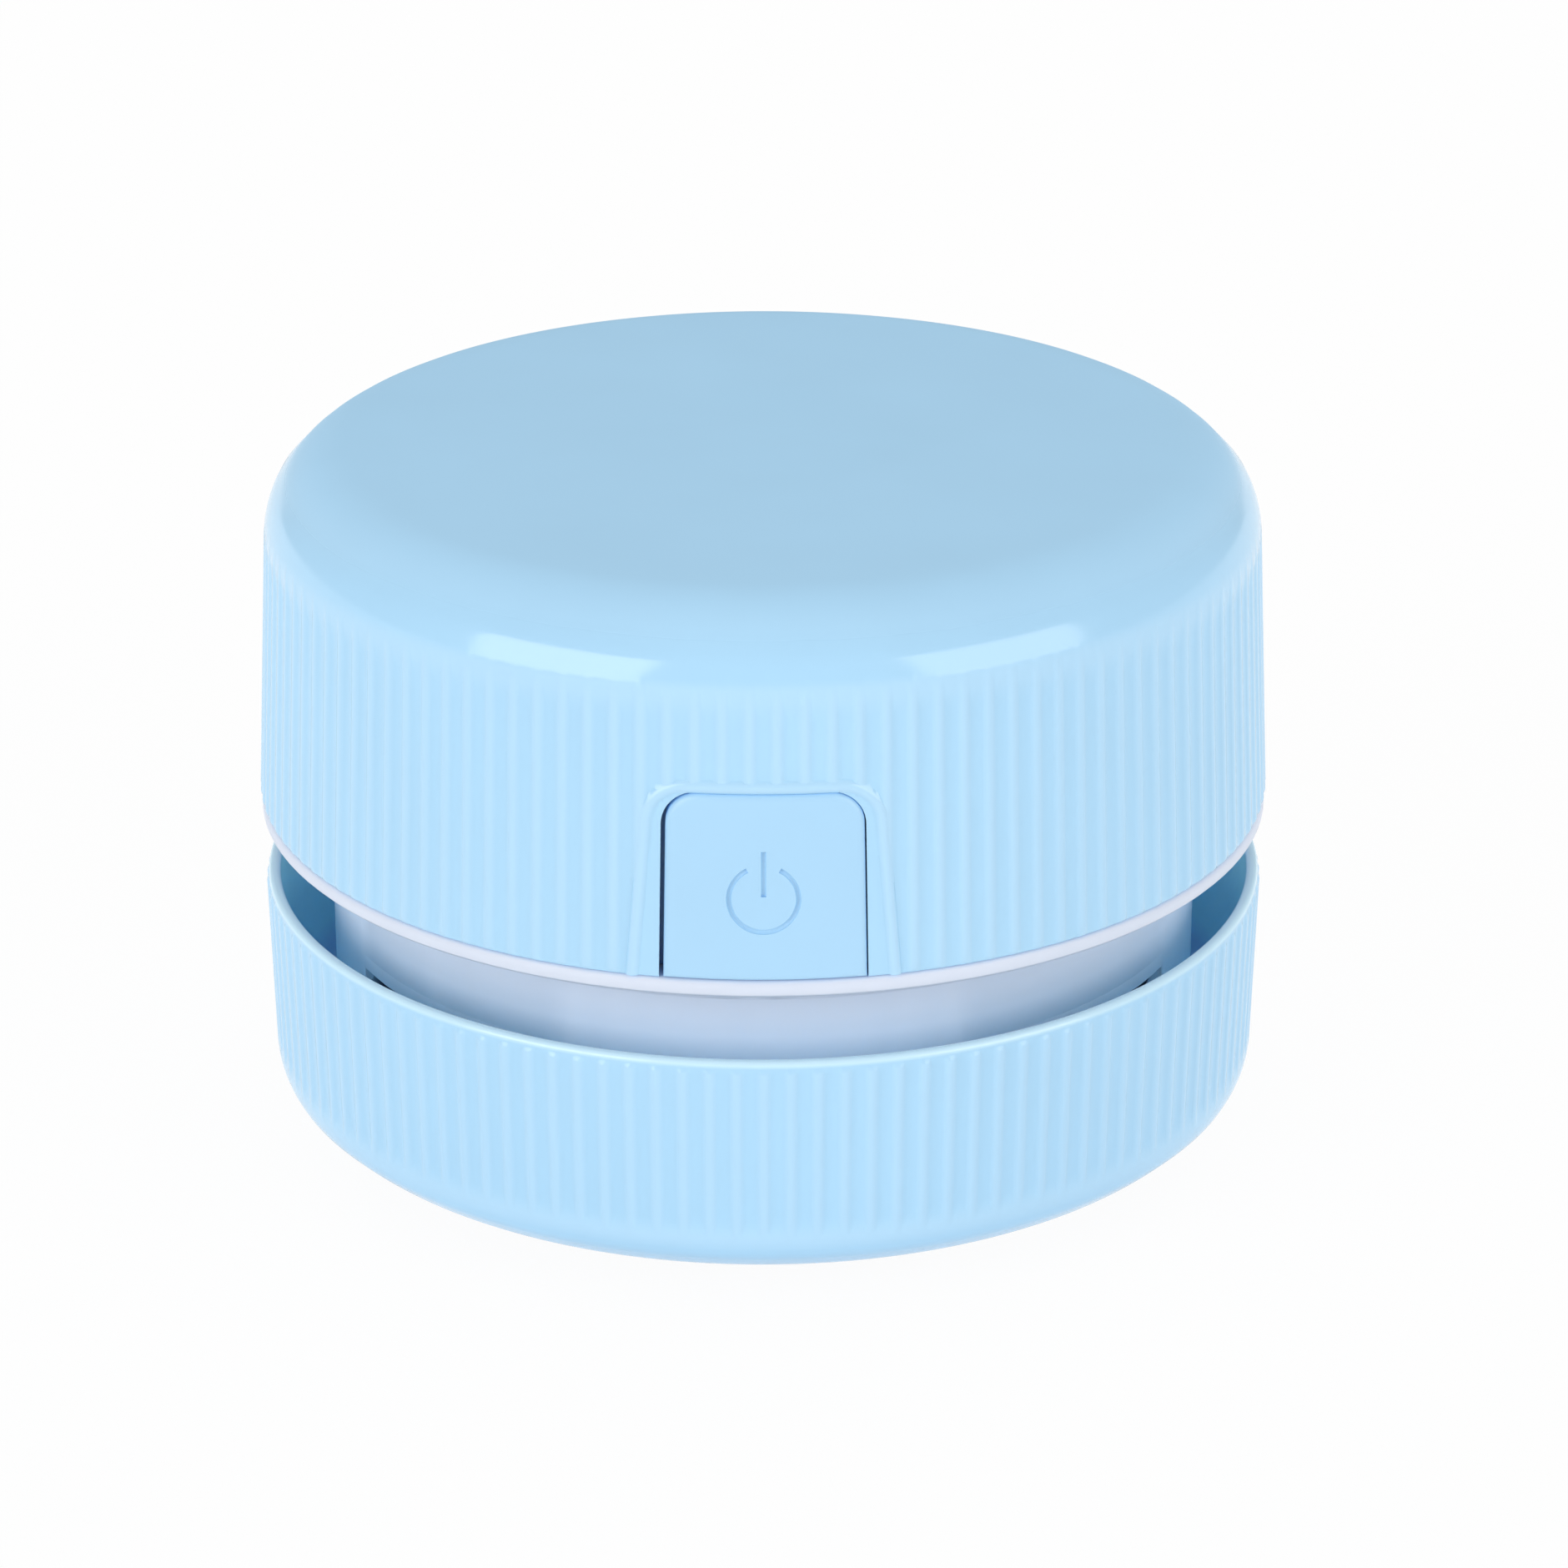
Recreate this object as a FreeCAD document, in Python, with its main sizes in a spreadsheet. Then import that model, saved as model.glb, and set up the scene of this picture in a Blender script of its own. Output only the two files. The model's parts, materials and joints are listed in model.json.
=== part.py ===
import FreeCAD, Part
import math
import os
import Sketcher

# Desktop mini vacuum cleaner. Millimetres, +Z up, the button faces -Y.
# The origin is on the desk, in the middle of the ring of bristles.

os.makedirs("parts", exist_ok=True)
doc = FreeCAD.newDocument("desk_vacuum")

# Driving dimensions: alias, value, meaning
DRIVING = (
    ("bristle_reach", 3.0, "desk to the cup's underside"),
    ("cup_height", 19.8, "underside of the cup to its rim"),
    ("exhaust_gap", 5.7, "rim to the flange above it"),
    ("flange_thickness", 1.5, "white band between the gap and the shell"),
    ("shell_height", 30.0, "lower edge of the shell to its flat top"),
    ("shell_radius", 43.0, "rib crests at the shell's lower edge"),
    ("shell_corner_radius", 41.46, "where the drafted side would meet the top"),
    ("shell_fillet", 7.4, "round between the shell's side and its top"),
    ("shell_wall", 2.0, "shell thickness under the ribs"),
    ("shell_inner_bevel", 4.0, "slope in the corner inside the shell"),
    ("cup_foot_radius", 42.35, "rib crests where the side would meet the underside"),
    ("cup_rim_radius", 42.8, "rib crests at the rim"),
    ("cup_fillet", 4.8, "round at the cup's foot"),
    ("cup_wall", 2.0, "cup wall under the ribs"),
    ("cup_inner_bevel", 1.5, "slope in the corner of the cup's floor"),
    ("rim_bevel", 0.5, "bevel on the rim"),
    ("rib_count", 124, "ribs round the shell and round the cup"),
    ("rib_height", 0.32, "rib crest above the valleys"),
    ("rib_width", 0.84, "width of a rib at its foot"),
    ("rib_run_out", 1.8, "height in which a rib fades into the round"),
    ("rim_band", 0.7, "smooth band between the cup ribs and the rim"),
    ("form_step", 0.05, "the smooth form lies this far under the valleys"),
    ("overrun", 1.0, "how far a cutter passes a face"),
    ("floor_thickness", 1.2, "floor of the cup"),
    ("plate_recess", 1.6, "recess of the base plate in the cup"),
    ("plate_radius", 35.0, "base plate"),
    ("plate_thickness", 1.4, "base plate"),
    ("plate_play", 0.2, "base plate to its recess"),
    ("duct_bore", 8.0, "radius of the suction inlet"),
    ("duct_wall", 1.2, "wall of the inlet duct"),
    ("duct_rise", 2.2, "duct above the cup's floor"),
    ("duct_play", 0.2, "duct to the hole in the floor"),
    ("mouth_flare", 1.0, "funnel at the inlet's mouth"),
    ("tuft_ring", 27.0, "radius of the ring of bristles"),
    ("tuft_count", 36, "bristle tufts"),
    ("tuft_sides", 6, "sides of one tuft"),
    ("tuft_radius", 1.2, "one tuft"),
    ("tuft_root", 0.9, "tuft inside the plate"),
    ("tuft_play", 0.04, "tuft to its hole"),
    ("base_screw_ring", 30.6, "base screws from the axis"),
    ("boss_radius", 2.5, "screw bosses on the cup's floor"),
    ("boss_rise", 2.6, "height of those bosses"),
    ("bowl_radius", 34.9, "outside of the dust bowl's wall"),
    ("bowl_wall", 1.5, "dust bowl's wall"),
    ("bowl_rise", 3.6, "dust bowl's wall above the floor"),
    ("collar_radius", 37.1, "collar that plugs into the cup"),
    ("collar_wall", 1.6, "collar"),
    ("neck_radius", 38.3, "step under the flange"),
    ("neck_drop", 2.2, "height of that step"),
    ("flange_radius", 42.87, "white flange"),
    ("flange_bevel", 0.35, "bevel on the flange's edges"),
    ("lip_height", 1.5, "locating lip inside the shell"),
    ("lip_wall", 1.6, "locating lip"),
    ("lip_play", 0.15, "lip to the shell"),
    ("lip_gap_half", 11.4, "half the gap in the lip behind the button"),
    ("deck_drop", 5.6, "flange top down to the deck's top"),
    ("deck_thickness", 1.8, "deck that carries the motor"),
    ("window_top_drop", 2.5, "deck's underside to the exhaust windows"),
    ("window_height", 3.7, "exhaust windows"),
    ("window_start", 26.0, "first edge of a window from the front, degrees"),
    ("window_sweep", 38.0, "angle of a window, degrees"),
    ("post_ring", 32.0, "shell posts from the axis"),
    ("post_radius", 3.0, "shell posts"),
    ("pilot_depth", 9.0, "screw hole in a post"),
    ("screw_radius", 1.1, "shank of the case screws"),
    ("screw_head_radius", 2.2, "head of the case screws"),
    ("screw_head_height", 1.6, "head of the case screws"),
    ("screw_length", 8.0, "case screws under the head"),
    ("screw_play", 0.05, "shank to its pilot hole"),
    ("screw_clearance", 0.3, "shank to a plain hole"),
    ("pillar_ring", 31.0, "shroud pillars from the axis"),
    ("pillar_radius", 2.7, "shroud pillars"),
    ("pillar_length", 5.8, "shroud pillars under the deck"),
    ("shroud_drop", 7.6, "deck's underside to the shroud plate's top"),
    ("shroud_thickness", 1.2, "shroud plate"),
    ("shroud_play", 0.1, "shroud plate to the collar"),
    ("shroud_boss_radius", 3.3, "screw cups on the shroud"),
    ("eye_radius", 12.0, "fan eye in the shroud"),
    ("eye_bar", 1.2, "bars across the fan eye"),
    ("eye_ring_radius", 6.6, "ring that ties the bars"),
    ("seal_level", 1.6, "seal above the collar's lower edge"),
    ("seal_height", 1.4, "seal"),
    ("seal_groove", 0.7, "depth of the seal's groove"),
    ("seal_gap", 0.1, "seal to the bowl's wall"),
    ("seal_play", 0.05, "seal to its groove"),
    ("lug_count", 3, "bayonet lugs, and as many tabs on the filter"),
    ("lug_thickness", 1.1, "bayonet lugs"),
    ("lug_reach", 2.1, "bayonet lugs from the collar"),
    ("lug_under_shroud", 3.9, "shroud's underside to the lugs' underside"),
    ("lug_sweep", 30.0, "angle of a lug, degrees"),
    ("lug_play", 0.2, "tab above its lug"),
    ("filter_radius", 33.0, "filter frame"),
    ("filter_ring", 2.6, "ring of the filter frame"),
    ("filter_height", 2.4, "filter frame"),
    ("filter_top_gap", 0.4, "filter frame under the shroud"),
    ("filter_tab_height", 1.1, "bayonet tabs"),
    ("filter_tab_play", 0.4, "tab to the collar"),
    ("filter_tab_sweep", 24.0, "angle of a tab, degrees"),
    ("spoke_count", 3, "bars across the filter frame"),
    ("spoke_width", 1.6, "bars across the filter frame"),
    ("spoke_height", 1.0, "bars across the filter frame"),
    ("grip_length", 22.0, "finger grip under the filter"),
    ("grip_width", 2.2, "finger grip"),
    ("grip_height", 1.4, "finger grip under the spokes"),
    ("cloth_play", 0.05, "cloth to its frame"),
    ("impeller_radius", 26.5, "fan wheel"),
    ("impeller_plate", 1.0, "fan wheel's back plate"),
    ("impeller_gap", 1.6, "deck's underside to the back plate"),
    ("blade_height", 4.2, "fan blades"),
    ("blade_count", 9, "fan blades"),
    ("blade_thickness", 0.9, "fan blades"),
    ("blade_root", 9.0, "blades start this far from the axis"),
    ("blade_lean", 42.0, "how far a blade trails, degrees"),
    ("hub_radius", 4.0, "fan hub"),
    ("hub_bevel", 1.0, "bevel on the hub's nose"),
    ("shaft_radius", 1.0, "motor shaft"),
    ("shaft_play", 0.03, "shaft to what is pressed on it"),
    ("bearing_play", 0.05, "shaft to its bushes"),
    ("motor_radius", 10.2, "motor can"),
    ("motor_flat", 7.55, "half the distance between the can's flats"),
    ("motor_length", 20.0, "motor can"),
    ("motor_skin", 0.6, "sheet of the can"),
    ("motor_boss_radius", 3.05, "bearing boss of the motor"),
    ("motor_boss_height", 1.3, "bearing boss of the motor"),
    ("motor_boss_play", 0.1, "boss to the deck"),
    ("end_cap_height", 2.2, "motor end cap"),
    ("bush_radius", 2.3, "motor bushes"),
    ("bush_length", 2.4, "motor bushes"),
    ("magnet_length", 15.0, "motor magnets"),
    ("magnet_sweep", 92.0, "angle of a magnet, degrees"),
    ("armature_gap", 0.4, "armature to the magnets and flats"),
    ("armature_length", 12.0, "armature stack"),
    ("armature_level", 3.4, "armature above the deck"),
    ("slot_count", 3, "armature slots"),
    ("slot_width", 2.6, "armature slots"),
    ("slot_root", 2.6, "armature slots start this far from the axis"),
    ("winding_play", 0.1, "winding to its slot"),
    ("winding_overhang", 0.8, "winding past the stack"),
    ("commutator_radius", 2.2, "commutator"),
    ("commutator_length", 2.6, "commutator"),
    ("brush_gap", 0.3, "brush to the commutator"),
    ("brush_thickness", 0.4, "motor brush"),
    ("brush_width", 1.6, "motor brush"),
    ("brush_length", 2.2, "motor brush"),
    ("terminal_reach", 3.6, "solder tabs above the end cap"),
    ("terminal_place", 6.2, "solder tabs from the axis"),
    ("motor_screw_place", 6.6, "motor screws from the axis"),
    ("motor_screw_radius", 0.85, "motor screws"),
    ("motor_screw_head", 1.7, "countersunk head of a motor screw"),
    ("motor_screw_length", 3.2, "motor screws"),
    ("cell_radius", 8.25, "rechargeable cell"),
    ("cell_length", 34.5, "rechargeable cell"),
    ("cell_place", 21.5, "cell behind the axis"),
    ("cell_play", 0.1, "cell to its cradle"),
    ("cradle_floor", 1.2, "cradle under the cell"),
    ("cradle_wall", 1.2, "cradle beside the cell"),
    ("cradle_height", 6.6, "cradle"),
    ("cradle_length", 30.0, "cradle"),
    ("cell_cap_radius", 4.4, "contact tabs on the cell"),
    ("cell_cap_thickness", 0.5, "contact tabs on the cell"),
    ("board_half_width", 11.0, "half the circuit board"),
    ("board_depth", 7.9, "circuit board from front to back"),
    ("board_back", 38.4, "back edge of the board from the axis"),
    ("board_thickness", 1.2, "circuit board"),
    ("board_rise", 3.2, "board above the flange"),
    ("board_boss_radius", 2.1, "bosses under the board"),
    ("board_boss_place", 8.4, "bosses left and right of the middle"),
    ("board_boss_inset", 3.6, "bosses in front of the board's back edge"),
    ("small_screw_radius", 0.8, "board screws"),
    ("small_screw_head", 1.6, "head of a board screw"),
    ("small_screw_height", 1.2, "head of a board screw"),
    ("small_screw_length", 4.0, "board screws"),
    ("port_width", 8.94, "charging socket"),
    ("port_height", 3.26, "charging socket"),
    ("port_length", 7.3, "charging socket"),
    ("port_skin", 0.31, "sheet of the socket"),
    ("port_sink", 0.5, "socket's mouth inside the rib crests"),
    ("port_play", 0.35, "socket to its opening"),
    ("port_land_margin", 2.4, "smooth land round the opening"),
    ("tongue_width", 6.7, "contact tongue in the socket"),
    ("tongue_height", 0.7, "contact tongue in the socket"),
    ("tongue_length", 4.6, "contact tongue in the socket"),
    ("chip_width", 3.0, "charging chip"),
    ("chip_height", 1.1, "charging chip"),
    ("led_width", 1.6, "charge light"),
    ("led_height", 0.7, "charge light"),
    ("button_top_half", 7.675, "half the button at its top"),
    ("button_foot_half", 8.0, "half the button at its foot"),
    ("button_height", 15.3, "button above the shell's edge"),
    ("button_corner", 2.6, "button's upper corners"),
    ("button_gap", 0.3, "button to its notch"),
    ("button_inset", 0.05, "button's face under the rib crests"),
    ("button_foot_play", 0.2, "button above the flange"),
    ("button_rest_play", 0.35, "button's retaining edge to the shell"),
    ("button_edge_width", 1.6, "retaining edge beside the button"),
    ("button_edge_thickness", 1.2, "retaining edge"),
    ("button_travel", 1.2, "travel of the button"),
    ("dish_radius", 5.2, "shallow dish for the finger"),
    ("dish_depth", 0.22, "shallow dish for the finger"),
    ("dish_level", 6.85, "middle of the dish above the shell's edge"),
    ("stem_radius", 2.2, "button stem"),
    ("stem_length", 1.4, "button stem"),
    ("switch_level", 7.6, "stem and switch above the shell's edge"),
    ("land_step", 0.06, "smooth land under the valleys"),
    ("bead_width", 0.8, "raised bead round the button"),
    ("bead_top_margin", 0.15, "bead above the gap"),
    ("bead_side_margin", 1.1, "bead beside the gap at the top"),
    ("bead_foot_margin", 1.55, "bead beside the gap at the foot"),
    ("bead_corner", 3.8, "upper corners of the bead"),
    ("switch_half", 3.5, "half the push switch"),
    ("switch_depth", 6.0, "push switch from front to back"),
    ("switch_wall_place", 27.6, "switch wall in front of the axis"),
    ("switch_wall_half", 7.0, "half the switch wall"),
    ("switch_wall_thickness", 1.6, "switch wall"),
    ("plunger_radius", 1.6, "switch plunger"),
    ("plunger_length", 6.6, "switch plunger"),
    ("plunger_play", 0.1, "plunger to the switch"),
)

# Directions in degrees, measured from +X
FULL_TURN = 360.0
BACK = FULL_TURN / 4
FRONT = BACK * 3
SIDE_ANGLES = [BACK * number for number in range(4)]
CORNER_ANGLES = [BACK * number + BACK / 2 for number in range(4)]

# Shares of the sizes that they multiply
LIP_CUT_SHARE = 0.9
SHROUD_SCREW_SHARE = 0.75
BLADE_BEND_SHARE = 0.62
CHIP_DEPTH_SHARE = 0.75
SAME_SHARE = 1e-6
FLAT_SHARE = 1e-9

# Ribs that one flat side of a ribbed ring's inside spans
RIBS_PER_INNER_SIDE = 4


class Size:
    """A value worked out from the sheet, kept with the formula that binds it there."""

    def __init__(self, formula, value):
        self.formula = formula
        self.value = float(value)

    def __float__(self):
        return self.value

    def joined(self, sign, other, value):
        return Size(f"({self.formula} {sign} {formula_of(other)})", value)

    def __add__(self, other):
        return self.joined("+", other, self.value + float(other))

    def __sub__(self, other):
        return self.joined("-", other, self.value - float(other))

    def __mul__(self, other):
        return self.joined("*", other, self.value * float(other))

    def __truediv__(self, other):
        return self.joined("/", other, self.value / float(other))

    def __neg__(self):
        return self * -1


def formula_of(value):
    """The text that an expression holds for a size or for a plain number."""
    return value.formula if isinstance(value, Size) else f"({float(value)!r})"


class Dimensions:
    """Reads a driving dimension from the sheet by its alias."""

    def __init__(self, holder, rows):
        self.holder = holder
        for row, (alias, value, meaning) in enumerate(rows, start=1):
            holder.set(f"A{row}", meaning)
            holder.set(f"B{row}", str(value))
            holder.setAlias(f"B{row}", alias)
        holder.recompute()

    def __getattr__(self, alias):
        return Size(f"{self.holder.Name}.{alias}", self.holder.get(alias))


dims = Dimensions(doc.addObject("Spreadsheet::Sheet", "sizes"), DRIVING)
NOTHING = dims.overrun * 0

# Levels above the desk
cup_base = dims.bristle_reach
floor_underside = cup_base + dims.plate_recess
floor_top = floor_underside + dims.floor_thickness
rim_level = cup_base + dims.cup_height
flange_base = rim_level + dims.exhaust_gap
shell_edge = flange_base + dims.flange_thickness
shell_top = shell_edge + dims.shell_height
deck_top = shell_edge - dims.deck_drop
deck_base = deck_top - dims.deck_thickness
shroud_top = deck_base - dims.shroud_drop
shroud_base = shroud_top - dims.shroud_thickness
switch_axis = shell_edge + dims.switch_level
collar_bore = dims.collar_radius - dims.collar_wall


def bind(thing, **sizes):
    """Tie properties of an object to the sheet."""
    for name, size in sizes.items():
        setattr(thing, name, float(size))
        if isinstance(size, Size):
            thing.setExpression(name, size.formula)


def whole(size):
    """A count read from the sheet."""
    return round(float(size))


def place(thing, x=0, y=0, z=0, turn=None):
    """Put an object at a place worked out from the sheet."""
    base = FreeCAD.Vector(float(x), float(y), float(z))
    thing.Placement = FreeCAD.Placement(base, turn or FreeCAD.Rotation())
    for axis, size in (("x", x), ("y", y), ("z", z)):
        if isinstance(size, Size):
            thing.setExpression(f"Placement.Base.{axis}", size.formula)
    return thing


ALONG_X = FreeCAD.Rotation(FreeCAD.Vector(0, 1, 0), 90)
ALONG_Y = FreeCAD.Rotation(FreeCAD.Vector(1, 0, 0), -90)
UP = FreeCAD.Vector(0, 0, 1)


def cylinder(name, radius, height, x=0, y=0, z=0, turn=None):
    """A round bar that starts at its place and runs along +Z, +X or +Y."""
    thing = doc.addObject("Part::Cylinder", name)
    bind(thing, Radius=radius, Height=height)
    return place(thing, x, y, z, turn)


def cone(name, low_radius, high_radius, height, x=0, y=0, z=0):
    """A round form whose radius changes evenly from its low end to its high end."""
    thing = doc.addObject("Part::Cone", name)
    bind(thing, Radius1=low_radius, Radius2=high_radius, Height=height)
    return place(thing, x, y, z)


def box(name, width, depth, height, x=0, y=0, z=0):
    """A block centred on x, which starts at y and at z."""
    thing = doc.addObject("Part::Box", name)
    bind(thing, Length=width, Width=depth, Height=height)
    return place(thing, x - width / 2 if isinstance(x, Size) else -width / 2, y, z)


def fuse(name, shapes):
    """One solid made of several that meet."""
    thing = doc.addObject("Part::MultiFuse", name)
    thing.Shapes = shapes
    return thing


def cut(name, base, tool):
    """A solid less a tool."""
    thing = doc.addObject("Part::Cut", name)
    thing.Base = base
    thing.Tool = tool
    return thing


def common(name, first, second):
    """What two solids share."""
    thing = doc.addObject("Part::Common", name)
    thing.Base = first
    thing.Tool = second
    return thing


def group(name, shapes):
    """Identical pieces that share a node."""
    thing = doc.addObject("Part::Compound", name)
    thing.Links = shapes
    return thing


def feature(name, shape):
    """A solid made by a formula, from sizes read from the sheet."""
    thing = doc.addObject("Part::Feature", name)
    thing.Shape = shape
    return thing


def spot(ring, degrees):
    """A place on a ring round the axis, measured from +X."""
    angle = math.radians(degrees)
    return ring * math.cos(angle), ring * math.sin(angle)


def turned(name, corners, fillets=(), bevels=()):
    """A body turned about the Z axis from an outline of radius and level pairs.

    fillets and bevels hold (radius, level, size) for each edge that is rounded or bevelled."""
    body = doc.addObject("PartDesign::Body", name)
    plane = [item for item in body.Origin.OriginFeatures if item.Role == "XZ_Plane"][0]
    sketch = body.newObject("Sketcher::SketchObject", name + "_outline")
    sketch.AttachmentSupport = (plane, [""])
    sketch.MapMode = "FlatFace"
    points = [FreeCAD.Vector(float(radius), float(level), 0) for radius, level in corners]
    count = len(points)
    sketch.addGeometry([Part.LineSegment(points[i], points[(i + 1) % count]) for i in range(count)])
    sketch.addConstraint([Sketcher.Constraint("Coincident", i, 2, (i + 1) % count, 1) for i in range(count)])
    for i, (radius, level) in enumerate(corners):
        if float(radius) == 0:
            sketch.addConstraint(Sketcher.Constraint("PointOnObject", i, 1, -2))
        else:
            held = sketch.addConstraint(Sketcher.Constraint("DistanceX", -1, 1, i, 1, float(radius)))
            sketch.setExpression(f"Constraints[{held}]", radius.formula)
        held = sketch.addConstraint(Sketcher.Constraint("DistanceY", -1, 1, i, 1, float(level)))
        sketch.setExpression(f"Constraints[{held}]", level.formula)
    revolution = body.newObject("PartDesign::Revolution", name + "_turned")
    revolution.Profile = sketch
    revolution.ReferenceAxis = (sketch, ["V_Axis"])
    revolution.Angle = FULL_TURN
    body.Tip = revolution
    sketch.recompute()
    revolution.recompute()
    for radius, level, size in fillets:
        dress_edge(body, "PartDesign::Fillet", name + "_round", radius, level, Radius=size)
    for radius, level, size in bevels:
        dress_edge(body, "PartDesign::Chamfer", name + "_bevel", radius, level, Size=size)
    return body


def dress_edge(body, kind, name, radius, level, **sizes):
    """Round or bevel the circle of that radius at that level."""
    base = body.Tip
    edges = [f"Edge{i}" for i, edge in enumerate(base.Shape.Edges, start=1)
             if is_circle(edge, float(radius), float(level))]
    dressed = body.newObject(kind, name)
    dressed.Base = (base, edges)
    bind(dressed, **sizes)
    dressed.recompute()
    body.Tip = dressed


def is_circle(edge, radius, level):
    """Whether an edge is the circle of that radius at that level."""
    if not isinstance(edge.Curve, Part.Circle):
        return False
    near = radius * SAME_SHARE
    return abs(edge.Curve.Radius - radius) < near and abs(edge.Curve.Center.z - level) < near


def sector(ring_in, ring_out, low, high, start, sweep):
    """A piece of a ring, from an angle in degrees measured from +X."""
    height = high - low
    base = FreeCAD.Vector(0, 0, low)
    outer = Part.makeCylinder(ring_out, height, base, UP, sweep)
    ring = outer.cut(Part.makeCylinder(ring_in, height, base))
    ring.rotate(FreeCAD.Vector(0, 0, 0), UP, start)
    return ring


def ribbed(levels, count, share, phase, depth):
    """A ring whose outside carries upright ribs, to fuse onto a smooth wall.

    levels holds (level, valley radius, crest radius) from the bottom up. share is the
    part of the pitch that a rib takes, phase moves the first rib off the front, and
    depth is the thickness of the ring under its valleys."""
    pitch = 2 * math.pi / count
    outside = []
    inside = []
    for level, valley, crest in levels:
        ring = []
        for rib in range(count):
            middle = (rib + phase) * pitch
            for offset, radius in ((-share / 2, valley), (0, crest), (share / 2, valley)):
                ring.append(from_front(radius, middle + offset * pitch, level))
        outside.append(ring)
        inside.append([from_front(valley - depth, pitch * RIBS_PER_INNER_SIDE * side, level)
                       for side in range(count // RIBS_PER_INNER_SIDE)])
    faces = []
    for rings in (outside, inside):
        for low, high in zip(rings, rings[1:]):
            for i in range(len(low)):
                j = (i + 1) % len(low)
                faces += side_faces(low[i], low[j], high[j], high[i])
    for end in (0, -1):
        faces.append(Part.Face([closed_wire(outside[end]), closed_wire(inside[end][::-1])]))
    skin = Part.makeShell(faces)
    skin.sewShape()
    solid = Part.makeSolid(skin)
    if solid.Volume < 0:
        solid.reverse()
    return solid


def from_front(radius, angle, level):
    """A point at an angle measured round the axis from the front."""
    return FreeCAD.Vector(radius * math.sin(angle), -radius * math.cos(angle), level)


def closed_wire(corners):
    """A closed wire through corners in order."""
    return Part.makePolygon(corners + [corners[0]])


def flat_face(corners):
    """A flat face through corners in order."""
    return Part.Face(closed_wire(corners))


def side_faces(first, second, third, fourth):
    """One face through four corners, or two where they don't lie in a plane."""
    normal = (second - first).cross(fourth - first).normalize()
    across = third - first
    if abs(across.dot(normal)) < across.Length * FLAT_SHARE:
        return [flat_face([first, second, third, fourth])]
    return [flat_face([first, second, third]), flat_face([first, third, fourth])]


def tab(top_half, foot_half, low, high, corner, front, back):
    """A prism along Y whose outline is a tab: wider at its foot, with two round upper corners."""
    side = FreeCAD.Vector(top_half - foot_half, 0, high - low).normalize()
    start = FreeCAD.Vector(top_half, front, high) - side * corner
    end = FreeCAD.Vector(top_half - corner, front, high)
    reach = corner * (1 - math.sqrt(0.5))
    middle = FreeCAD.Vector(top_half - reach, front, high - reach)

    def mirrored(point):
        return FreeCAD.Vector(-point.x, point.y, point.z)

    foot = FreeCAD.Vector(foot_half, front, low)
    edges = [
        Part.LineSegment(mirrored(foot), foot),
        Part.LineSegment(foot, start),
        Part.Arc(start, middle, end),
        Part.LineSegment(end, mirrored(end)),
        Part.Arc(mirrored(end), mirrored(middle), mirrored(start)),
        Part.LineSegment(mirrored(start), mirrored(foot)),
    ]
    outline = Part.Wire([edge.toShape() for edge in edges])
    return Part.Face(outline).extrude(FreeCAD.Vector(0, back - front, 0))


def stadium(width, height, length, y, z):
    """A bar along Y with round ends left and right, centred on x = 0 and on z."""
    radius = height / 2
    half = width / 2 - radius
    low_left = FreeCAD.Vector(-half, y, z - radius)
    low_right = FreeCAD.Vector(half, y, z - radius)
    high_right = FreeCAD.Vector(half, y, z + radius)
    high_left = FreeCAD.Vector(-half, y, z + radius)
    edges = [
        Part.LineSegment(low_left, low_right),
        Part.Arc(low_right, FreeCAD.Vector(half + radius, y, z), high_right),
        Part.LineSegment(high_right, high_left),
        Part.Arc(high_left, FreeCAD.Vector(-half - radius, y, z), low_left),
    ]
    outline = Part.Wire([edge.toShape() for edge in edges])
    return Part.Face(outline).extrude(FreeCAD.Vector(0, length, 0))


def shell_cone(name, inset):
    """The shell's drafted side, this far inside the rib crests, as a solid cone."""
    low_radius = dims.shell_radius - inset
    high_radius = dims.shell_corner_radius - inset
    return cone(name, low_radius, high_radius, dims.shell_height, z=shell_edge)


def shell_draft():
    """How much the shell's radius shrinks for each millimetre of height."""
    return (dims.shell_radius - dims.shell_corner_radius) / dims.shell_height


def rib_share():
    """Part of the pitch that a rib takes."""
    return float(dims.rib_width) * float(dims.rib_count) / (2 * math.pi * float(dims.shell_radius))


def shell_outline(inset, top_inset, low):
    """Half a section through the shell's form, this far inside its rib crests and its top."""
    low_radius = dims.shell_radius - inset - shell_draft() * (low - shell_edge)
    high = shell_top - top_inset
    high_radius = dims.shell_corner_radius - inset + shell_draft() * top_inset
    return [(NOTHING, low), (low_radius, low), (high_radius, high), (NOTHING, high)]


def shell_ribs():
    """The ribbed band of the shell, whose ribs fade into the round at the top."""
    edge, radius, corner = float(shell_edge), float(dims.shell_radius), float(dims.shell_corner_radius)
    height = float(dims.rib_height)
    fillet = float(dims.shell_fillet)
    shoulder = float(shell_top) - fillet
    end = shoulder + float(dims.rib_run_out)
    shrink = 1 - (1 - corner / radius) * (shoulder - edge) / float(dims.shell_height)
    rise = float(dims.rib_run_out)
    drawn_in = fillet - math.sqrt(fillet * fillet - rise * rise)
    fade = (radius - height) * shrink - drawn_in
    levels = [
        (edge, radius - height, radius),
        (shoulder, (radius - height) * shrink, radius * shrink),
        (end, fade, fade + float(dims.form_step)),
    ]
    return feature("shell_ribs", ribbed(
        levels, whole(dims.rib_count), rib_share(), 1 / 2, float(dims.shell_wall) / 2))


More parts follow.
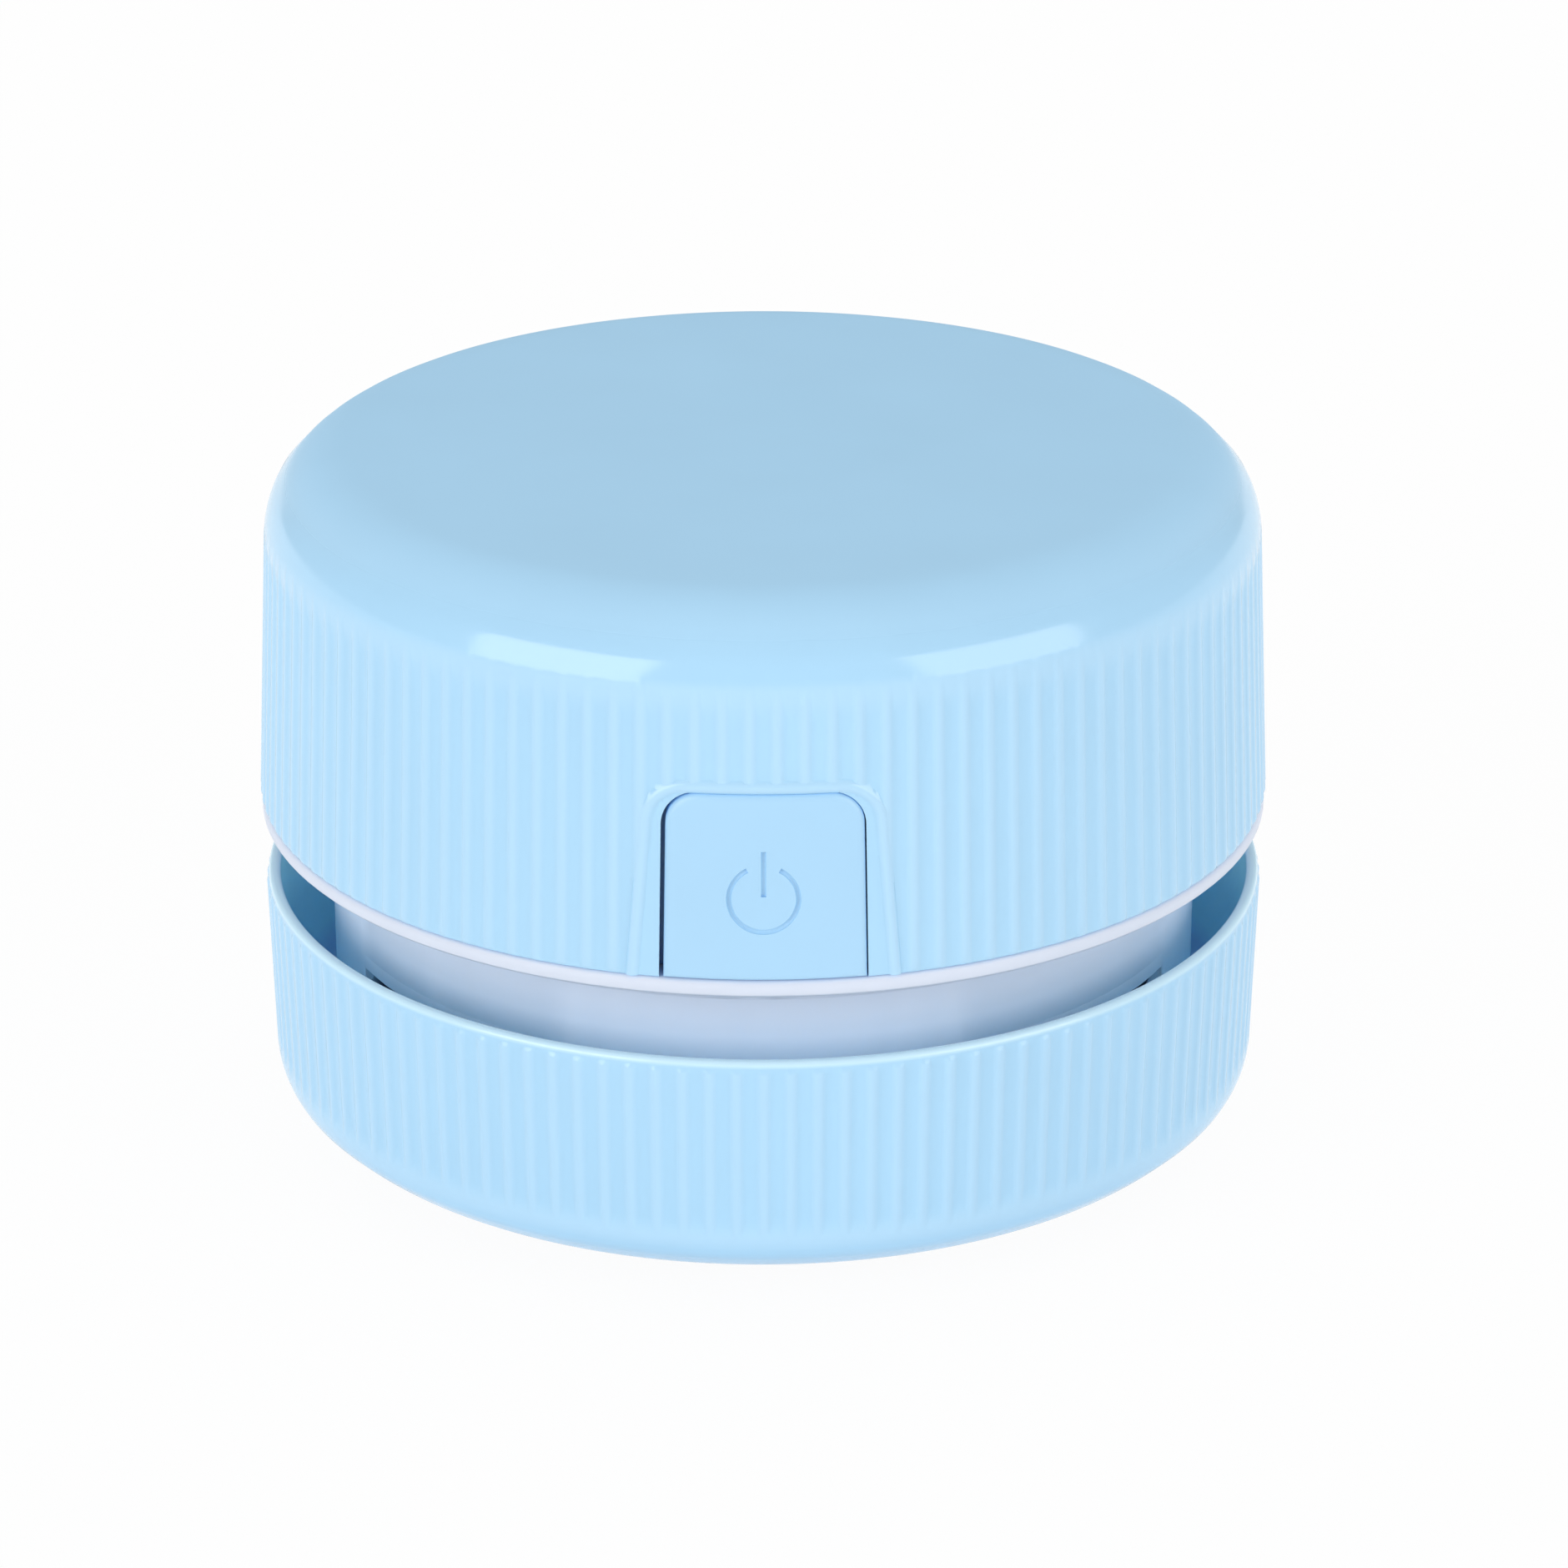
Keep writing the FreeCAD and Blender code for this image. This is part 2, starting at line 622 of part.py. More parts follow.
def make_top_shell():
    """Ribbed shell with the button's notch, the port's opening and four screw posts."""
    inner_inset = dims.rib_height + dims.shell_wall
    low = shell_edge - dims.overrun
    outline = shell_outline(dims.rib_height + dims.form_step, NOTHING, shell_edge)
    smooth = turned("shell_smooth", outline, fillets=[(*outline[2], dims.shell_fillet)])
    inner_outline = shell_outline(inner_inset, dims.shell_wall, low)
    cavity = turned("shell_cavity", inner_outline, bevels=[(*inner_outline[2], dims.shell_inner_bevel)])

    front = -float(dims.shell_radius + dims.overrun)
    inside = -float(dims.shell_radius - inner_inset - dims.shell_wall * 2)
    notch_top = float(shell_edge + dims.button_height + dims.button_gap)
    notch = feature("button_notch", tab(
        float(dims.button_top_half + dims.button_gap), float(dims.button_foot_half + dims.button_gap),
        float(low), notch_top, float(dims.button_corner + dims.button_gap), front, inside))

    def bead_outline(margin):
        return tab(
            float(dims.button_top_half + dims.button_gap + dims.bead_side_margin) + margin,
            float(dims.button_foot_half + dims.button_gap + dims.bead_foot_margin) + margin,
            float(shell_edge), notch_top + float(dims.bead_top_margin) + margin,
            float(dims.bead_corner) + margin, front, inside)

    bead_width = float(dims.bead_width)
    land = cut("button_land", feature("button_land_outline", bead_outline(bead_width / 2)),
               shell_cone("button_land_depth", dims.rib_height + dims.land_step))
    bead_ring = feature("button_bead_outline", bead_outline(bead_width).cut(bead_outline(0)))
    bead_skin = cut("button_bead_skin", shell_cone("button_bead_crest", NOTHING),
                    shell_cone("button_bead_root", dims.rib_height + dims.shell_wall / 2))
    bead = common("button_bead", bead_ring, bead_skin)

    port_level = float(port_axis())
    land_width = float(dims.port_width + dims.port_land_margin * 2)
    land_height = float(dims.port_height + dims.port_land_margin * 2)
    port_land = cut("port_land", feature("port_land_outline", stadium(
        land_width, land_height, float(dims.shell_wall * 3), -inside, port_level)),
        shell_cone("port_land_depth", dims.rib_height + dims.land_step))
    port_hole = feature("port_opening", stadium(
        float(dims.port_width + dims.port_play * 2), float(dims.port_height + dims.port_play * 2),
        float(dims.shell_wall * 4), -inside, port_level))

    posts = []
    pilots = []
    for number, degrees in enumerate(CORNER_ANGLES):
        x, y = spot(dims.post_ring, degrees)
        height = shell_top - dims.shell_wall / 2 - deck_top
        posts.append(cylinder(f"shell_post_{number}", dims.post_radius, height, x, y, deck_top))
        pilots.append(cylinder(f"post_pilot_{number}", dims.screw_radius + dims.screw_play,
                               dims.pilot_depth + dims.overrun, x, y, deck_top - dims.overrun))
    openings = fuse("shell_openings", [notch, port_hole, land, port_land])
    hollow = cut("shell_hollow", smooth, fuse("shell_inside", [cavity, openings]))
    drilled_posts = cut("shell_posts", group("shell_solid_posts", posts), group("post_pilots", pilots))
    ribs = cut("shell_cut_ribs", shell_ribs(), openings)
    fuse("top_shell", [hollow, drilled_posts, bead, ribs])


def port_axis():
    """Level of the charging socket's middle."""
    return shell_edge + dims.board_rise + dims.board_thickness + dims.port_height / 2


def make_power_button():
    """Button tab with its curved face and finger dish, the edge that keeps it in and its stem."""
    front = -float(dims.shell_radius + dims.overrun)
    inner = dims.shell_wall + dims.rib_height + dims.button_rest_play
    inner_face = inner + dims.button_edge_thickness
    edge_half = float(dims.button_foot_half + dims.button_edge_width)
    back = -math.sqrt(float(dims.shell_corner_radius - inner_face) ** 2 - edge_half ** 2)
    foot = float(shell_edge + dims.button_foot_play)
    face = feature("button_tab", tab(
        float(dims.button_top_half), float(dims.button_foot_half), foot,
        float(shell_edge + dims.button_height), float(dims.button_corner), front, back))
    edge = feature("button_edge_tab", tab(
        float(dims.button_top_half + dims.button_edge_width), edge_half,
        foot, float(shell_edge + dims.button_height + dims.button_edge_width),
        float(dims.button_corner + dims.button_edge_width), front, back))
    hollow = shell_cone("button_hollow", inner_face)
    cap = cut("button_cap", common("button_face", face, shell_cone("button_crest", dims.button_inset)),
              fuse("button_cutters", [hollow, finger_dish()]))
    keeper = cut("button_keeper", common("button_keeper_face", edge, shell_cone("button_keeper_crest", inner)),
                 shell_cone("button_keeper_hollow", inner_face))
    stem = cylinder("button_stem", dims.stem_radius, dims.button_edge_thickness + dims.stem_length,
                    y=-stem_end() - dims.button_edge_thickness - dims.stem_length, z=switch_axis, turn=ALONG_Y)
    return fuse("power_button", [cap, keeper, stem])


def finger_dish():
    """A large ball that presses the shallow dish into the button's face."""
    ball = doc.addObject("Part::Sphere", "button_dish")
    depth = dims.dish_depth
    radius = (dims.dish_radius * dims.dish_radius + depth * depth) / (depth * 2)
    bind(ball, Radius=radius)
    face = dims.shell_radius - dims.button_inset - shell_draft() * dims.dish_level
    return place(ball, 0, depth - face - radius, shell_edge + dims.dish_level)


def stem_end():
    """How far in front of the axis the stem meets the plunger."""
    inner = dims.rib_height + dims.shell_wall + dims.button_rest_play + dims.button_edge_thickness
    return dims.shell_radius - shell_draft() * dims.switch_level - inner - dims.stem_length


def make_switch():
    """Push switch on its wall, with the plunger that the button pushes."""
    body_front = dims.switch_wall_place + dims.switch_depth
    body = box("switch_block", dims.switch_half * 2, dims.switch_depth, dims.switch_half * 2,
               y=-body_front, z=switch_axis - dims.switch_half)
    bore_depth = dims.switch_depth - dims.switch_wall_thickness / 2
    bore = cylinder("switch_bore", dims.plunger_radius + dims.plunger_play, bore_depth + dims.overrun,
                    y=-body_front - dims.overrun, z=switch_axis, turn=ALONG_Y)
    cut("push_switch", body, bore)
    cylinder("switch_plunger", dims.plunger_radius, dims.plunger_length,
             y=-stem_end(), z=switch_axis, turn=ALONG_Y)


def make_chassis():
    """White flange and collar with the deck, pillars, lugs, windows and bosses that it carries."""
    bore = collar_bore
    seal_low = floor_top + dims.seal_level
    seal_high = seal_low + dims.seal_height
    groove = bore + dims.seal_groove
    lip_out = dims.shell_radius - dims.rib_height - dims.shell_wall - dims.lip_play
    lip_in = lip_out - dims.lip_wall
    lip_top = shell_edge + dims.lip_height
    neck_base = flange_base - dims.neck_drop
    motor_hole = dims.motor_boss_radius + dims.motor_boss_play
    corners = [
        (bore, floor_top), (dims.collar_radius, floor_top), (dims.collar_radius, neck_base),
        (dims.neck_radius, neck_base), (dims.neck_radius, flange_base), (dims.flange_radius, flange_base),
        (dims.flange_radius, shell_edge), (lip_out, shell_edge), (lip_out, lip_top), (lip_in, lip_top),
        (lip_in, shell_edge), (bore, shell_edge), (bore, deck_top), (motor_hole, deck_top),
        (motor_hole, deck_base), (bore, deck_base), (bore, seal_high), (groove, seal_high),
        (groove, seal_low), (bore, seal_low),
    ]
    tub = turned("chassis_tub", corners, bevels=[
        (dims.flange_radius, flange_base, dims.flange_bevel),
        (dims.flange_radius, shell_edge, dims.flange_bevel)])

    added = [tub]
    lug_low = shroud_base - dims.lug_under_shroud
    for number in range(whole(dims.lug_count)):
        added.append(feature(f"bayonet_lug_{number}", sector(
            float(bore - dims.lug_reach), float(bore + dims.collar_wall / 2),
            float(lug_low), float(lug_low + dims.lug_thickness),
            bayonet_start(number, dims.lug_sweep), float(dims.lug_sweep))))
    for number, degrees in enumerate(SIDE_ANGLES):
        x, y = spot(dims.pillar_ring, degrees)
        height = dims.pillar_length + dims.deck_thickness / 2
        added.append(cylinder(f"shroud_pillar_{number}", dims.pillar_radius, height,
                              x, y, deck_base - dims.pillar_length))
    wall_high = switch_axis + dims.switch_half * 2
    added.append(box("switch_wall", dims.switch_wall_half * 2, dims.switch_wall_thickness,
                     wall_high - deck_top + dims.deck_thickness / 2, y=-dims.switch_wall_place,
                     z=deck_top - dims.deck_thickness / 2))
    boss_y = dims.board_back - dims.board_boss_inset
    for side in (-1, 1):
        height = dims.board_rise + dims.flange_thickness
        added.append(cylinder(f"board_boss_{side + 1}", dims.board_boss_radius, height,
                              dims.board_boss_place * side, boss_y, flange_base))
    solid = fuse("chassis_solid", added)

    cutters = [box("lip_gap", dims.lip_gap_half * 2, dims.shell_radius - lip_in * LIP_CUT_SHARE,
                   dims.lip_height + dims.overrun, y=-dims.shell_radius, z=shell_edge)]
    window_high = deck_base - dims.window_top_drop
    for number, start in enumerate(window_starts()):
        cutters.append(feature(f"exhaust_window_{number}", sector(
            float(bore - dims.overrun), float(dims.collar_radius + dims.overrun),
            float(window_high - dims.window_height), float(window_high), start, float(dims.window_sweep))))
    for number, degrees in enumerate(SIDE_ANGLES):
        x, y = spot(dims.pillar_ring, degrees)
        cutters.append(cylinder(f"pillar_pilot_{number}", dims.screw_radius + dims.screw_play,
                                dims.pillar_length + dims.overrun - dims.screw_play * 2, x, y,
                                deck_base - dims.pillar_length - dims.overrun))
    for number, degrees in enumerate(CORNER_ANGLES):
        x, y = spot(dims.post_ring, degrees)
        cutters.append(cylinder(f"deck_hole_{number}", dims.screw_radius + dims.screw_clearance,
                                dims.deck_thickness + dims.overrun * 2, x, y, deck_base - dims.overrun))
    for side in (-1, 1):
        cutters.append(cylinder(f"board_pilot_{side + 1}", dims.small_screw_radius + dims.screw_play,
                                dims.board_rise + dims.overrun,
                                dims.board_boss_place * side, boss_y, shell_edge))
        cutters.append(motor_screw(f"motor_screw_hole_{side + 1}", side, dims.screw_play, dims.overrun))
    cut("chassis", solid, group("chassis_cutters", cutters))


def window_starts():
    """Where each exhaust window starts: one to the right and one to the left of the front and of the back."""
    start, sweep = float(dims.window_start), float(dims.window_sweep)
    return [middle + offset for middle in (FRONT, BACK) for offset in (start, -start - sweep)]


def bayonet_start(number, sweep):
    """Where a bayonet lug or tab starts, when the first lies in the middle of the back."""
    return BACK + FULL_TURN / whole(dims.lug_count) * number - float(sweep) / 2


def motor_screw(name, side, margin, past):
    """A countersunk screw up through the deck into the motor, or with a margin its hole."""
    x = dims.motor_screw_place * side
    radius = dims.motor_screw_radius + margin
    shank = cylinder(name + "_shank", radius, dims.motor_screw_length + past, x, 0, deck_base)
    depth = dims.motor_screw_head - dims.motor_screw_radius
    head = cone(name + "_head", dims.motor_screw_head + margin, radius, depth, x, 0, deck_base)
    return fuse(name, [shank, head])


def pan_screw(name, x, y, head_low, head_high, tip):
    """A plain screw: a round head and a shank that points up."""
    head = cylinder(name + "_head", dims.screw_head_radius, head_high - head_low, x, y, head_low)
    shank = cylinder(name + "_shank", dims.screw_radius, tip - head_high, x, y, head_high)
    return fuse(name, [head, shank])


def make_case_screws():
    """Screws that hold the shell to the deck, the shroud to the pillars and the plate to the cup."""
    deck_screws = []
    for number, degrees in enumerate(CORNER_ANGLES):
        x, y = spot(dims.post_ring, degrees)
        deck_screws.append(pan_screw(f"deck_screw_{number}", x, y, deck_base - dims.screw_head_height,
                                     deck_base, deck_base + dims.screw_length))
    group("deck_screws", deck_screws)
    shroud_screws = []
    for number, degrees in enumerate(SIDE_ANGLES):
        x, y = spot(dims.pillar_ring, degrees)
        head_high = deck_base - dims.pillar_length - dims.shroud_thickness
        shroud_screws.append(pan_screw(f"shroud_screw_{number}", x, y, head_high - dims.screw_head_height,
                                       head_high, head_high + dims.screw_length * SHROUD_SCREW_SHARE))
    group("shroud_screws", shroud_screws)
    base_screws = []
    for number, degrees in enumerate(CORNER_ANGLES):
        x, y = spot(dims.base_screw_ring, degrees)
        base_screws.append(base_screw(f"base_screw_{number}", x, y, NOTHING, NOTHING))
    group("base_screws", base_screws)


def base_screw(name, x, y, margin, past):
    """A countersunk screw up through the base plate, or with a margin its hole."""
    low = floor_underside - dims.plate_thickness
    depth = dims.screw_head_radius - dims.screw_radius
    tip = base_screw_tip()
    head = cone(name + "_head", dims.screw_head_radius + margin, dims.screw_radius + margin, depth, x, y, low)
    shank = cylinder(name + "_shank", dims.screw_radius + margin, tip - low + past, x, y, low)
    return fuse(name, [head, shank])


def make_fan_shroud():
    """Plate under the fan with its eye, the bars across it and four screw cups."""
    rim = collar_bore - dims.shroud_play
    plate = turned("shroud_plate", [
        (dims.eye_radius, shroud_base), (rim, shroud_base), (rim, shroud_top), (dims.eye_radius, shroud_top)])
    ring = turned("shroud_eye_ring", [
        (dims.eye_ring_radius - dims.eye_bar, shroud_base), (dims.eye_ring_radius, shroud_base),
        (dims.eye_ring_radius, shroud_top), (dims.eye_ring_radius - dims.eye_bar, shroud_top)])
    added = [plate, ring]
    reach = dims.eye_radius * 2 + dims.overrun
    added.append(box("shroud_bar_across", reach, dims.eye_bar, dims.shroud_thickness,
                     y=-dims.eye_bar / 2, z=shroud_base))
    added.append(box("shroud_bar_along", dims.eye_bar, reach, dims.shroud_thickness,
                     y=-reach / 2, z=shroud_base))
    boss_high = deck_base - dims.pillar_length
    cutters = []
    for number, degrees in enumerate(SIDE_ANGLES):
        x, y = spot(dims.pillar_ring, degrees)
        added.append(cylinder(f"shroud_cup_{number}", dims.shroud_boss_radius, boss_high - shroud_base,
                              x, y, shroud_base))
        cutters.append(cylinder(f"shroud_cup_bore_{number}", dims.screw_head_radius + dims.screw_clearance,
                                boss_high - dims.shroud_thickness - shroud_base + dims.overrun, x, y,
                                shroud_base - dims.overrun))
        cutters.append(cylinder(f"shroud_cup_hole_{number}", dims.screw_radius + dims.screw_clearance,
                                dims.shroud_thickness + dims.overrun * 2, x, y,
                                boss_high - dims.shroud_thickness - dims.overrun))
    cut("fan_shroud", fuse("shroud_solid", added), group("shroud_cutters", cutters))


def make_seal_ring():
    """Soft ring in the collar's groove, which closes on the dust bowl's wall."""
    inner = dims.bowl_radius + dims.seal_gap
    outer = collar_bore + dims.seal_groove - dims.seal_play
    low = floor_top + dims.seal_level + dims.seal_play
    high = low + dims.seal_height - dims.seal_play * 2
    turned("seal_ring", [(inner, low), (outer, low), (outer, high), (inner, high)])


def make_filter():
    """Filter frame with bayonet tabs, spokes and a finger grip, and the cloth disc in it."""
    high = shroud_base - dims.filter_top_gap
    low = high - dims.filter_height
    inner = dims.filter_radius - dims.filter_ring
    outline = [(inner, low), (dims.filter_radius, low), (dims.filter_radius, high), (inner, high)]
    added = [turned("filter_ring", outline)]
    reach = float(inner + dims.filter_ring / 2)
    for number in range(whole(dims.spoke_count)):
        degrees = FULL_TURN / 2 / whole(dims.spoke_count) * number
        added.append(feature(f"filter_spoke_{number}", radial_block(
            -reach, reach, float(dims.spoke_width), float(low), float(low + dims.spoke_height), degrees)))
    added.append(box("filter_grip", dims.grip_length, dims.grip_width, dims.grip_height + dims.spoke_height,
                     y=-dims.grip_width / 2, z=low - dims.grip_height))
    tab_low = shroud_base - dims.lug_under_shroud + dims.lug_thickness + dims.lug_play
    for number in range(whole(dims.lug_count)):
        start = bayonet_start(number, dims.filter_tab_sweep)
        added.append(feature(f"filter_tab_{number}", sector(
            float(dims.filter_radius - dims.filter_ring / 2), float(collar_bore - dims.filter_tab_play),
            float(tab_low), float(tab_low + dims.filter_tab_height), start, float(dims.filter_tab_sweep))))
    fuse("filter_frame", added)
    cylinder("filter_cloth", inner - dims.cloth_play, dims.filter_height - dims.spoke_height,
             z=low + dims.spoke_height)


def impeller_top():
    """Level of the fan wheel's back plate, on the motor's side."""
    return deck_base - dims.impeller_gap


def blade(start_angle):
    """One backward-curved blade between the hub and the rim, as a bent strip."""
    low = float(impeller_top() - dims.impeller_plate - dims.blade_height)
    height = float(dims.blade_height + dims.impeller_plate / 2)
    root, rim = float(dims.blade_root), float(dims.impeller_radius)
    lean = math.radians(float(dims.blade_lean))
    thickness = float(dims.blade_thickness)

    def point(radius, share, side):
        angle = start_angle - lean * share + side * thickness / 2 / radius
        return FreeCAD.Vector(radius * math.cos(angle), radius * math.sin(angle), low)

    stations = [(root, 0), ((root + rim) / 2, BLADE_BEND_SHARE), (rim, 1)]
    left = [point(radius, share, 1) for radius, share in stations]
    right = [point(radius, share, -1) for radius, share in stations]
    edges = [
        Part.Arc(*left).toShape(),
        Part.makeLine(left[-1], right[-1]),
        Part.Arc(*reversed(right)).toShape(),
        Part.makeLine(right[0], left[0]),
    ]
    return Part.Face(Part.Wire(edges)).extrude(FreeCAD.Vector(0, 0, height))


def make_rotor():
    """Shaft with the fan wheel, armature, windings and commutator on it."""
    top = impeller_top()
    low = top - dims.impeller_plate - dims.blade_height
    bore = dims.shaft_radius + dims.shaft_play
    plate_base = top - dims.impeller_plate
    wheel = turned("impeller_wheel", [
        (bore, low), (dims.hub_radius, low), (dims.hub_radius, plate_base), (dims.impeller_radius, plate_base),
        (dims.impeller_radius, top), (bore, top)], bevels=[(dims.hub_radius, low, dims.hub_bevel)])
    count = whole(dims.blade_count)
    blades = [blade(2 * math.pi / count * number) for number in range(count)]
    fuse("impeller", [wheel, feature("impeller_blades", Part.makeCompound(blades))])

    motor_top = deck_top + dims.motor_length + dims.end_cap_height
    cylinder("motor_shaft", dims.shaft_radius, motor_top - low, z=low)

    stack_low = deck_top + dims.armature_level
    radius = armature_radius()
    stack = turned("armature_stack", [
        (bore, stack_low), (radius, stack_low), (radius, stack_low + dims.armature_length),
        (bore, stack_low + dims.armature_length)])
    slots = []
    windings = []
    for number in range(whole(dims.slot_count)):
        degrees = FULL_TURN / whole(dims.slot_count) * number
        slots.append(feature(f"armature_slot_{number}", radial_block(
            float(dims.slot_root), float(radius + dims.overrun), float(dims.slot_width),
            float(stack_low - dims.overrun), float(stack_low + dims.armature_length + dims.overrun), degrees)))
        windings.append(feature(f"winding_{number}", radial_block(
            float(dims.slot_root + dims.winding_play), float(radius - dims.winding_play),
            float(dims.slot_width - dims.winding_play * 2), float(stack_low - dims.winding_overhang),
            float(stack_low + dims.armature_length + dims.winding_overhang), degrees)))
    cut("armature", stack, group("armature_slots", slots))
    group("armature_windings", windings)
    comm_high = deck_top + dims.motor_length - dims.brush_gap
    comm_low = comm_high - dims.commutator_length
    turned("commutator", [(bore, comm_low), (dims.commutator_radius, comm_low),
                          (dims.commutator_radius, comm_high), (bore, comm_high)])


def armature_radius():
    """The armature turns this far inside the can's flats."""
    return dims.motor_flat - dims.motor_skin - dims.armature_gap


def radial_block(start, end, width, low, high, degrees):
    """A block along a line through the axis, from start to end."""
    block = Part.makeBox(end - start, width, high - low, FreeCAD.Vector(start, -width / 2, low))
    block.rotate(FreeCAD.Vector(0, 0, 0), UP, degrees)
    return block


def make_motor():
    """Motor can with flats, its end cap, magnets, bushes, brushes, solder tabs and screws."""
    cap_low = deck_top + dims.motor_length
    cap_high = cap_low + dims.end_cap_height
    skin = dims.motor_skin
    flat_depth = dims.motor_flat * 2
    outside = common("can_outside", cylinder("can_round", dims.motor_radius, dims.motor_length, z=deck_top),
                     box("can_flats", dims.motor_radius * 2, flat_depth, dims.motor_length,
                         y=-dims.motor_flat, z=deck_top))
    inner = dims.motor_radius - skin
    inside = common("can_inside", cylinder("can_round_inside", inner, dims.motor_length, z=deck_top + skin),
                    box("can_flats_inside", inner * 2, flat_depth - skin * 2, dims.motor_length,
                        y=skin - dims.motor_flat, z=deck_top + skin))
    boss = cylinder("can_boss", dims.motor_boss_radius, dims.motor_boss_height + skin,
                    z=deck_top - dims.motor_boss_height)
    bush_bore = cylinder("can_bush_bore", dims.bush_radius + dims.shaft_play,
                         dims.motor_boss_height + skin + dims.overrun * 2,
                         z=deck_top - dims.motor_boss_height - dims.overrun)
    screw_holes = [motor_screw(f"can_screw_hole_{side + 1}", side, dims.screw_play, dims.overrun)
                   for side in (-1, 1)]
    hollow_can = cut("can_hollow", fuse("can_solid", [outside, boss]),
                     group("can_cutters", [inside, bush_bore]))
    cut("motor_can", hollow_can, group("can_screw_holes", screw_holes))

    cap_round = common("end_cap_outside",
                       cylinder("end_cap_round", dims.motor_radius, dims.end_cap_height, z=cap_low),
                       box("end_cap_flats", dims.motor_radius * 2, flat_depth, dims.end_cap_height,
                           y=-dims.motor_flat, z=cap_low))
    cap_boss = cylinder("end_cap_boss", dims.motor_boss_radius, dims.motor_boss_height, z=cap_high)
    cap_bore = cylinder("end_cap_bore", dims.bush_radius + dims.shaft_play,
                        dims.end_cap_height + dims.motor_boss_height + dims.overrun * 2,
                        z=cap_low - dims.overrun)
    tab_slots = [box(f"terminal_slot_{side + 1}", dims.brush_thickness + dims.shaft_play * 2,
                     dims.brush_width + dims.shaft_play * 2, dims.end_cap_height + dims.overrun * 2,
                     dims.terminal_place * side, -dims.brush_width / 2 - dims.shaft_play,
                     cap_low - dims.overrun)
                 for side in (-1, 1)]
    cut("motor_end_cap", fuse("end_cap_solid", [cap_round, cap_boss]),
        group("end_cap_cutters", [cap_bore] + tab_slots))
    group("motor_terminals", [box(f"terminal_{side + 1}", dims.brush_thickness, dims.brush_width,
                                  dims.end_cap_height + dims.terminal_reach, dims.terminal_place * side,
                                  -dims.brush_width / 2, cap_low) for side in (-1, 1)])
    brush_x = dims.commutator_radius + dims.brush_gap + dims.brush_thickness / 2
    group("motor_brushes", [box(f"brush_{side + 1}", dims.brush_thickness, dims.brush_width, dims.brush_length,
                                brush_x * side, -dims.brush_width / 2, cap_low - dims.brush_length)
                            for side in (-1, 1)])

    magnet_out = inner - dims.shaft_play
    magnet_low = deck_top + dims.armature_level - (dims.magnet_length - dims.armature_length) / 2
    magnets = []
    for number in range(2):
        start = FULL_TURN / 2 * number - float(dims.magnet_sweep) / 2
        magnets.append(feature(f"magnet_{number}", sector(
            float(armature_radius() + dims.armature_gap), float(magnet_out), float(magnet_low),
            float(magnet_low + dims.magnet_length), start, float(dims.magnet_sweep))))
    group("motor_magnets", magnets)

    bush_in = dims.shaft_radius + dims.bearing_play
    low_bush = deck_top - dims.motor_boss_height
    high_bush = cap_high + dims.motor_boss_height - dims.bush_length
    bushes = []
    for name, low in (("bush_low", low_bush), ("bush_high", high_bush)):
        high = low + dims.bush_length
        bushes.append(turned(name, [
            (bush_in, low), (dims.bush_radius, low), (dims.bush_radius, high), (bush_in, high)]))
    group("motor_bushes", bushes)
    group("motor_screws", [motor_screw(f"motor_screw_{side + 1}", side, NOTHING, NOTHING) for side in (-1, 1)])


def make_battery():
    """Rechargeable cell lying in its cradle behind the motor, with a contact tab on each end."""
    axis_level = deck_top + dims.cradle_floor + dims.cell_radius + dims.cell_play
    cylinder("battery_cell", dims.cell_radius, dims.cell_length, -dims.cell_length / 2,
             dims.cell_place, axis_level, ALONG_X)
    width = (dims.cell_radius + dims.cell_play + dims.cradle_wall) * 2
    block = box("cradle_block", dims.cradle_length, width, dims.cradle_height,
                y=dims.cell_place - width / 2, z=deck_top)
    bed = cylinder("cradle_bed", dims.cell_radius + dims.cell_play, dims.cell_length, -dims.cell_length / 2,
                   dims.cell_place, axis_level, ALONG_X)
    cut("battery_cradle", block, bed)
    tabs = [cylinder(f"cell_tab_{side + 1}", dims.cell_cap_radius, dims.cell_cap_thickness,
                     dims.cell_length / 2 * side - dims.cell_cap_thickness * max(-side, 0), dims.cell_place,
                     axis_level, ALONG_X) for side in (-1, 1)]
    group("battery_tabs", tabs)


